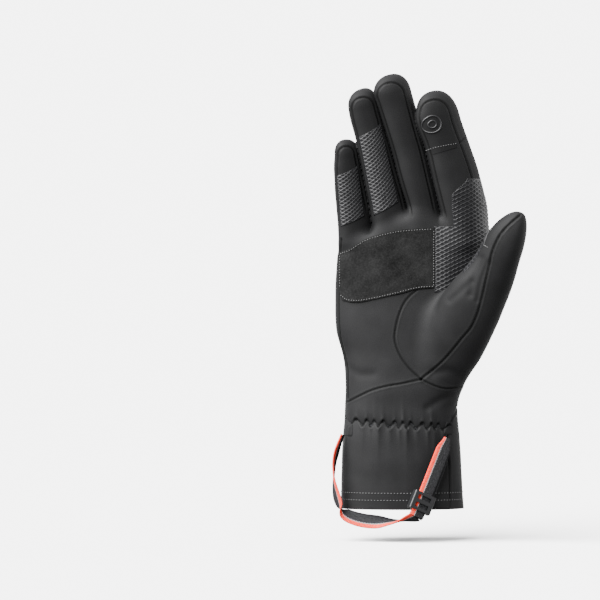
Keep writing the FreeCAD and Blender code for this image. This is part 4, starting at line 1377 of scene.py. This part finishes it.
def build_anchors():
    """The tape's ends, folded flat and sewn down on the wrist."""
    rows, columns = 22, 24
    up, across = net(np.linspace(0, 1, rows), np.linspace(-1, 1, columns))
    height, lean_reach, half = 8.2, 8.0, 2.6 - 0.9 * up ** 2
    lift = 0.12 + 0.2 * np.ravel(blended_step(up, 0, 0.12) * (1 - 0.5 * blended_step(up, 0.8, 1)))
    for name, x, z, lean in (("leash_anchor_little_side", -35.4, 47.5, 0.1),
                             ("leash_anchor_thumb_side", 29.4, 48.5, 0.12)):
        base, normals = facing_points(x + across * half + lean * lean_reach * up, z + height * up)
        piece = patch(name + "_tab", base, normals, rows, columns, lift, MATERIALS["softshell_side"])
        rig.ride(piece, "cuff")
        dress(piece, "webbing", name)


build_anchors()
for material_slot in frame["nodes"]["leash_slider"].material_slots:
    material_slot.material = MATERIALS["plastic"]


# ---------------------------------------------------------------- floor, light and camera
WORLD_STRENGTH = 6.0
KEY_STRENGTH, KEY_ANGLE = 150.0, 64
KEY_FROM = (-0.54, -0.44, 0.72)
# The photograph's shadow lies just clear of the hem.
FLOOR_GAP = 0.0085
# Where the camera stands; the glove is right of the picture's centre.
CAMERA_X, CAMERA_Z, CAMERA_DISTANCE, PICTURE_WIDTH = -0.0668, 0.1362, 2.4, 0.393


def into_scene(name, data, turn, place=(0, 0, 0)):
    obj = bpy.data.objects.new(name, data)
    obj.location = place
    obj.rotation_euler = turn
    bpy.context.scene.collection.objects.link(obj)
    return obj


def build_stage():
    """A floor and a world of one brightness, so that they meet without a line."""
    key_on_floor = KEY_STRENGTH / math.pi * KEY_FROM[2]
    floor_grey = WORLD_STRENGTH / (WORLD_STRENGTH + key_on_floor)
    bpy.ops.mesh.primitive_plane_add(size=40, location=(0, 3.0, cad_lo.z - FLOOR_GAP))
    floor = bpy.context.object
    floor.name = "floor"
    material, _, _, shader = new_material("floor", 0.9, specular=0.0)
    shader.inputs["Base Color"].default_value = (floor_grey, floor_grey, floor_grey, 1)
    floor.data.materials.append(material)
    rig.stage(floor)
    world = bpy.data.worlds.new("studio")
    bpy.context.scene.world = world
    world.use_nodes = True
    background = world.node_tree.nodes["Background"]
    background.inputs["Color"].default_value = (1, 1, 1, 1)
    background.inputs["Strength"].default_value = WORLD_STRENGTH


def build_light():
    """A wide soft key from the upper left, and a panel on the right that lights the glove's edge."""
    sun = bpy.data.lights.new("key", "SUN")
    sun.energy = KEY_STRENGTH
    sun.angle = math.radians(KEY_ANGLE)
    into_scene("key", sun, Vector(KEY_FROM).to_track_quat("Z", "Y").to_euler())
    panel = bpy.data.lights.new("right_edge", "AREA")
    panel.shape = "RECTANGLE"
    panel.size, panel.size_y = 0.25, 0.9
    panel.energy = 30
    place, glove_middle = Vector((1.1, 0.35, 0.4)), Vector((0.015, -0.01, 0.14))
    towards = (glove_middle - place).to_track_quat("-Z", "Y").to_euler()
    into_scene("right_edge", panel, towards, place).visible_camera = False


def build_camera():
    """At the height of the glove's middle, looking along +Y."""
    data = bpy.data.cameras.new("camera")
    data.sensor_width = 36
    data.lens = data.sensor_width * CAMERA_DISTANCE / PICTURE_WIDTH
    place = (CAMERA_X, -CAMERA_DISTANCE, CAMERA_Z)
    bpy.context.scene.camera = into_scene("camera", data, (math.radians(90), 0, 0), place)


build_stage()
build_light()
build_camera()

made_lo, made_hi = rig.bounds()
with open("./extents.json", "w") as record_of_size:
    json.dump({"cad": [list(cad_lo), list(cad_hi)], "visual": [list(made_lo), list(made_hi)]}, record_of_size)
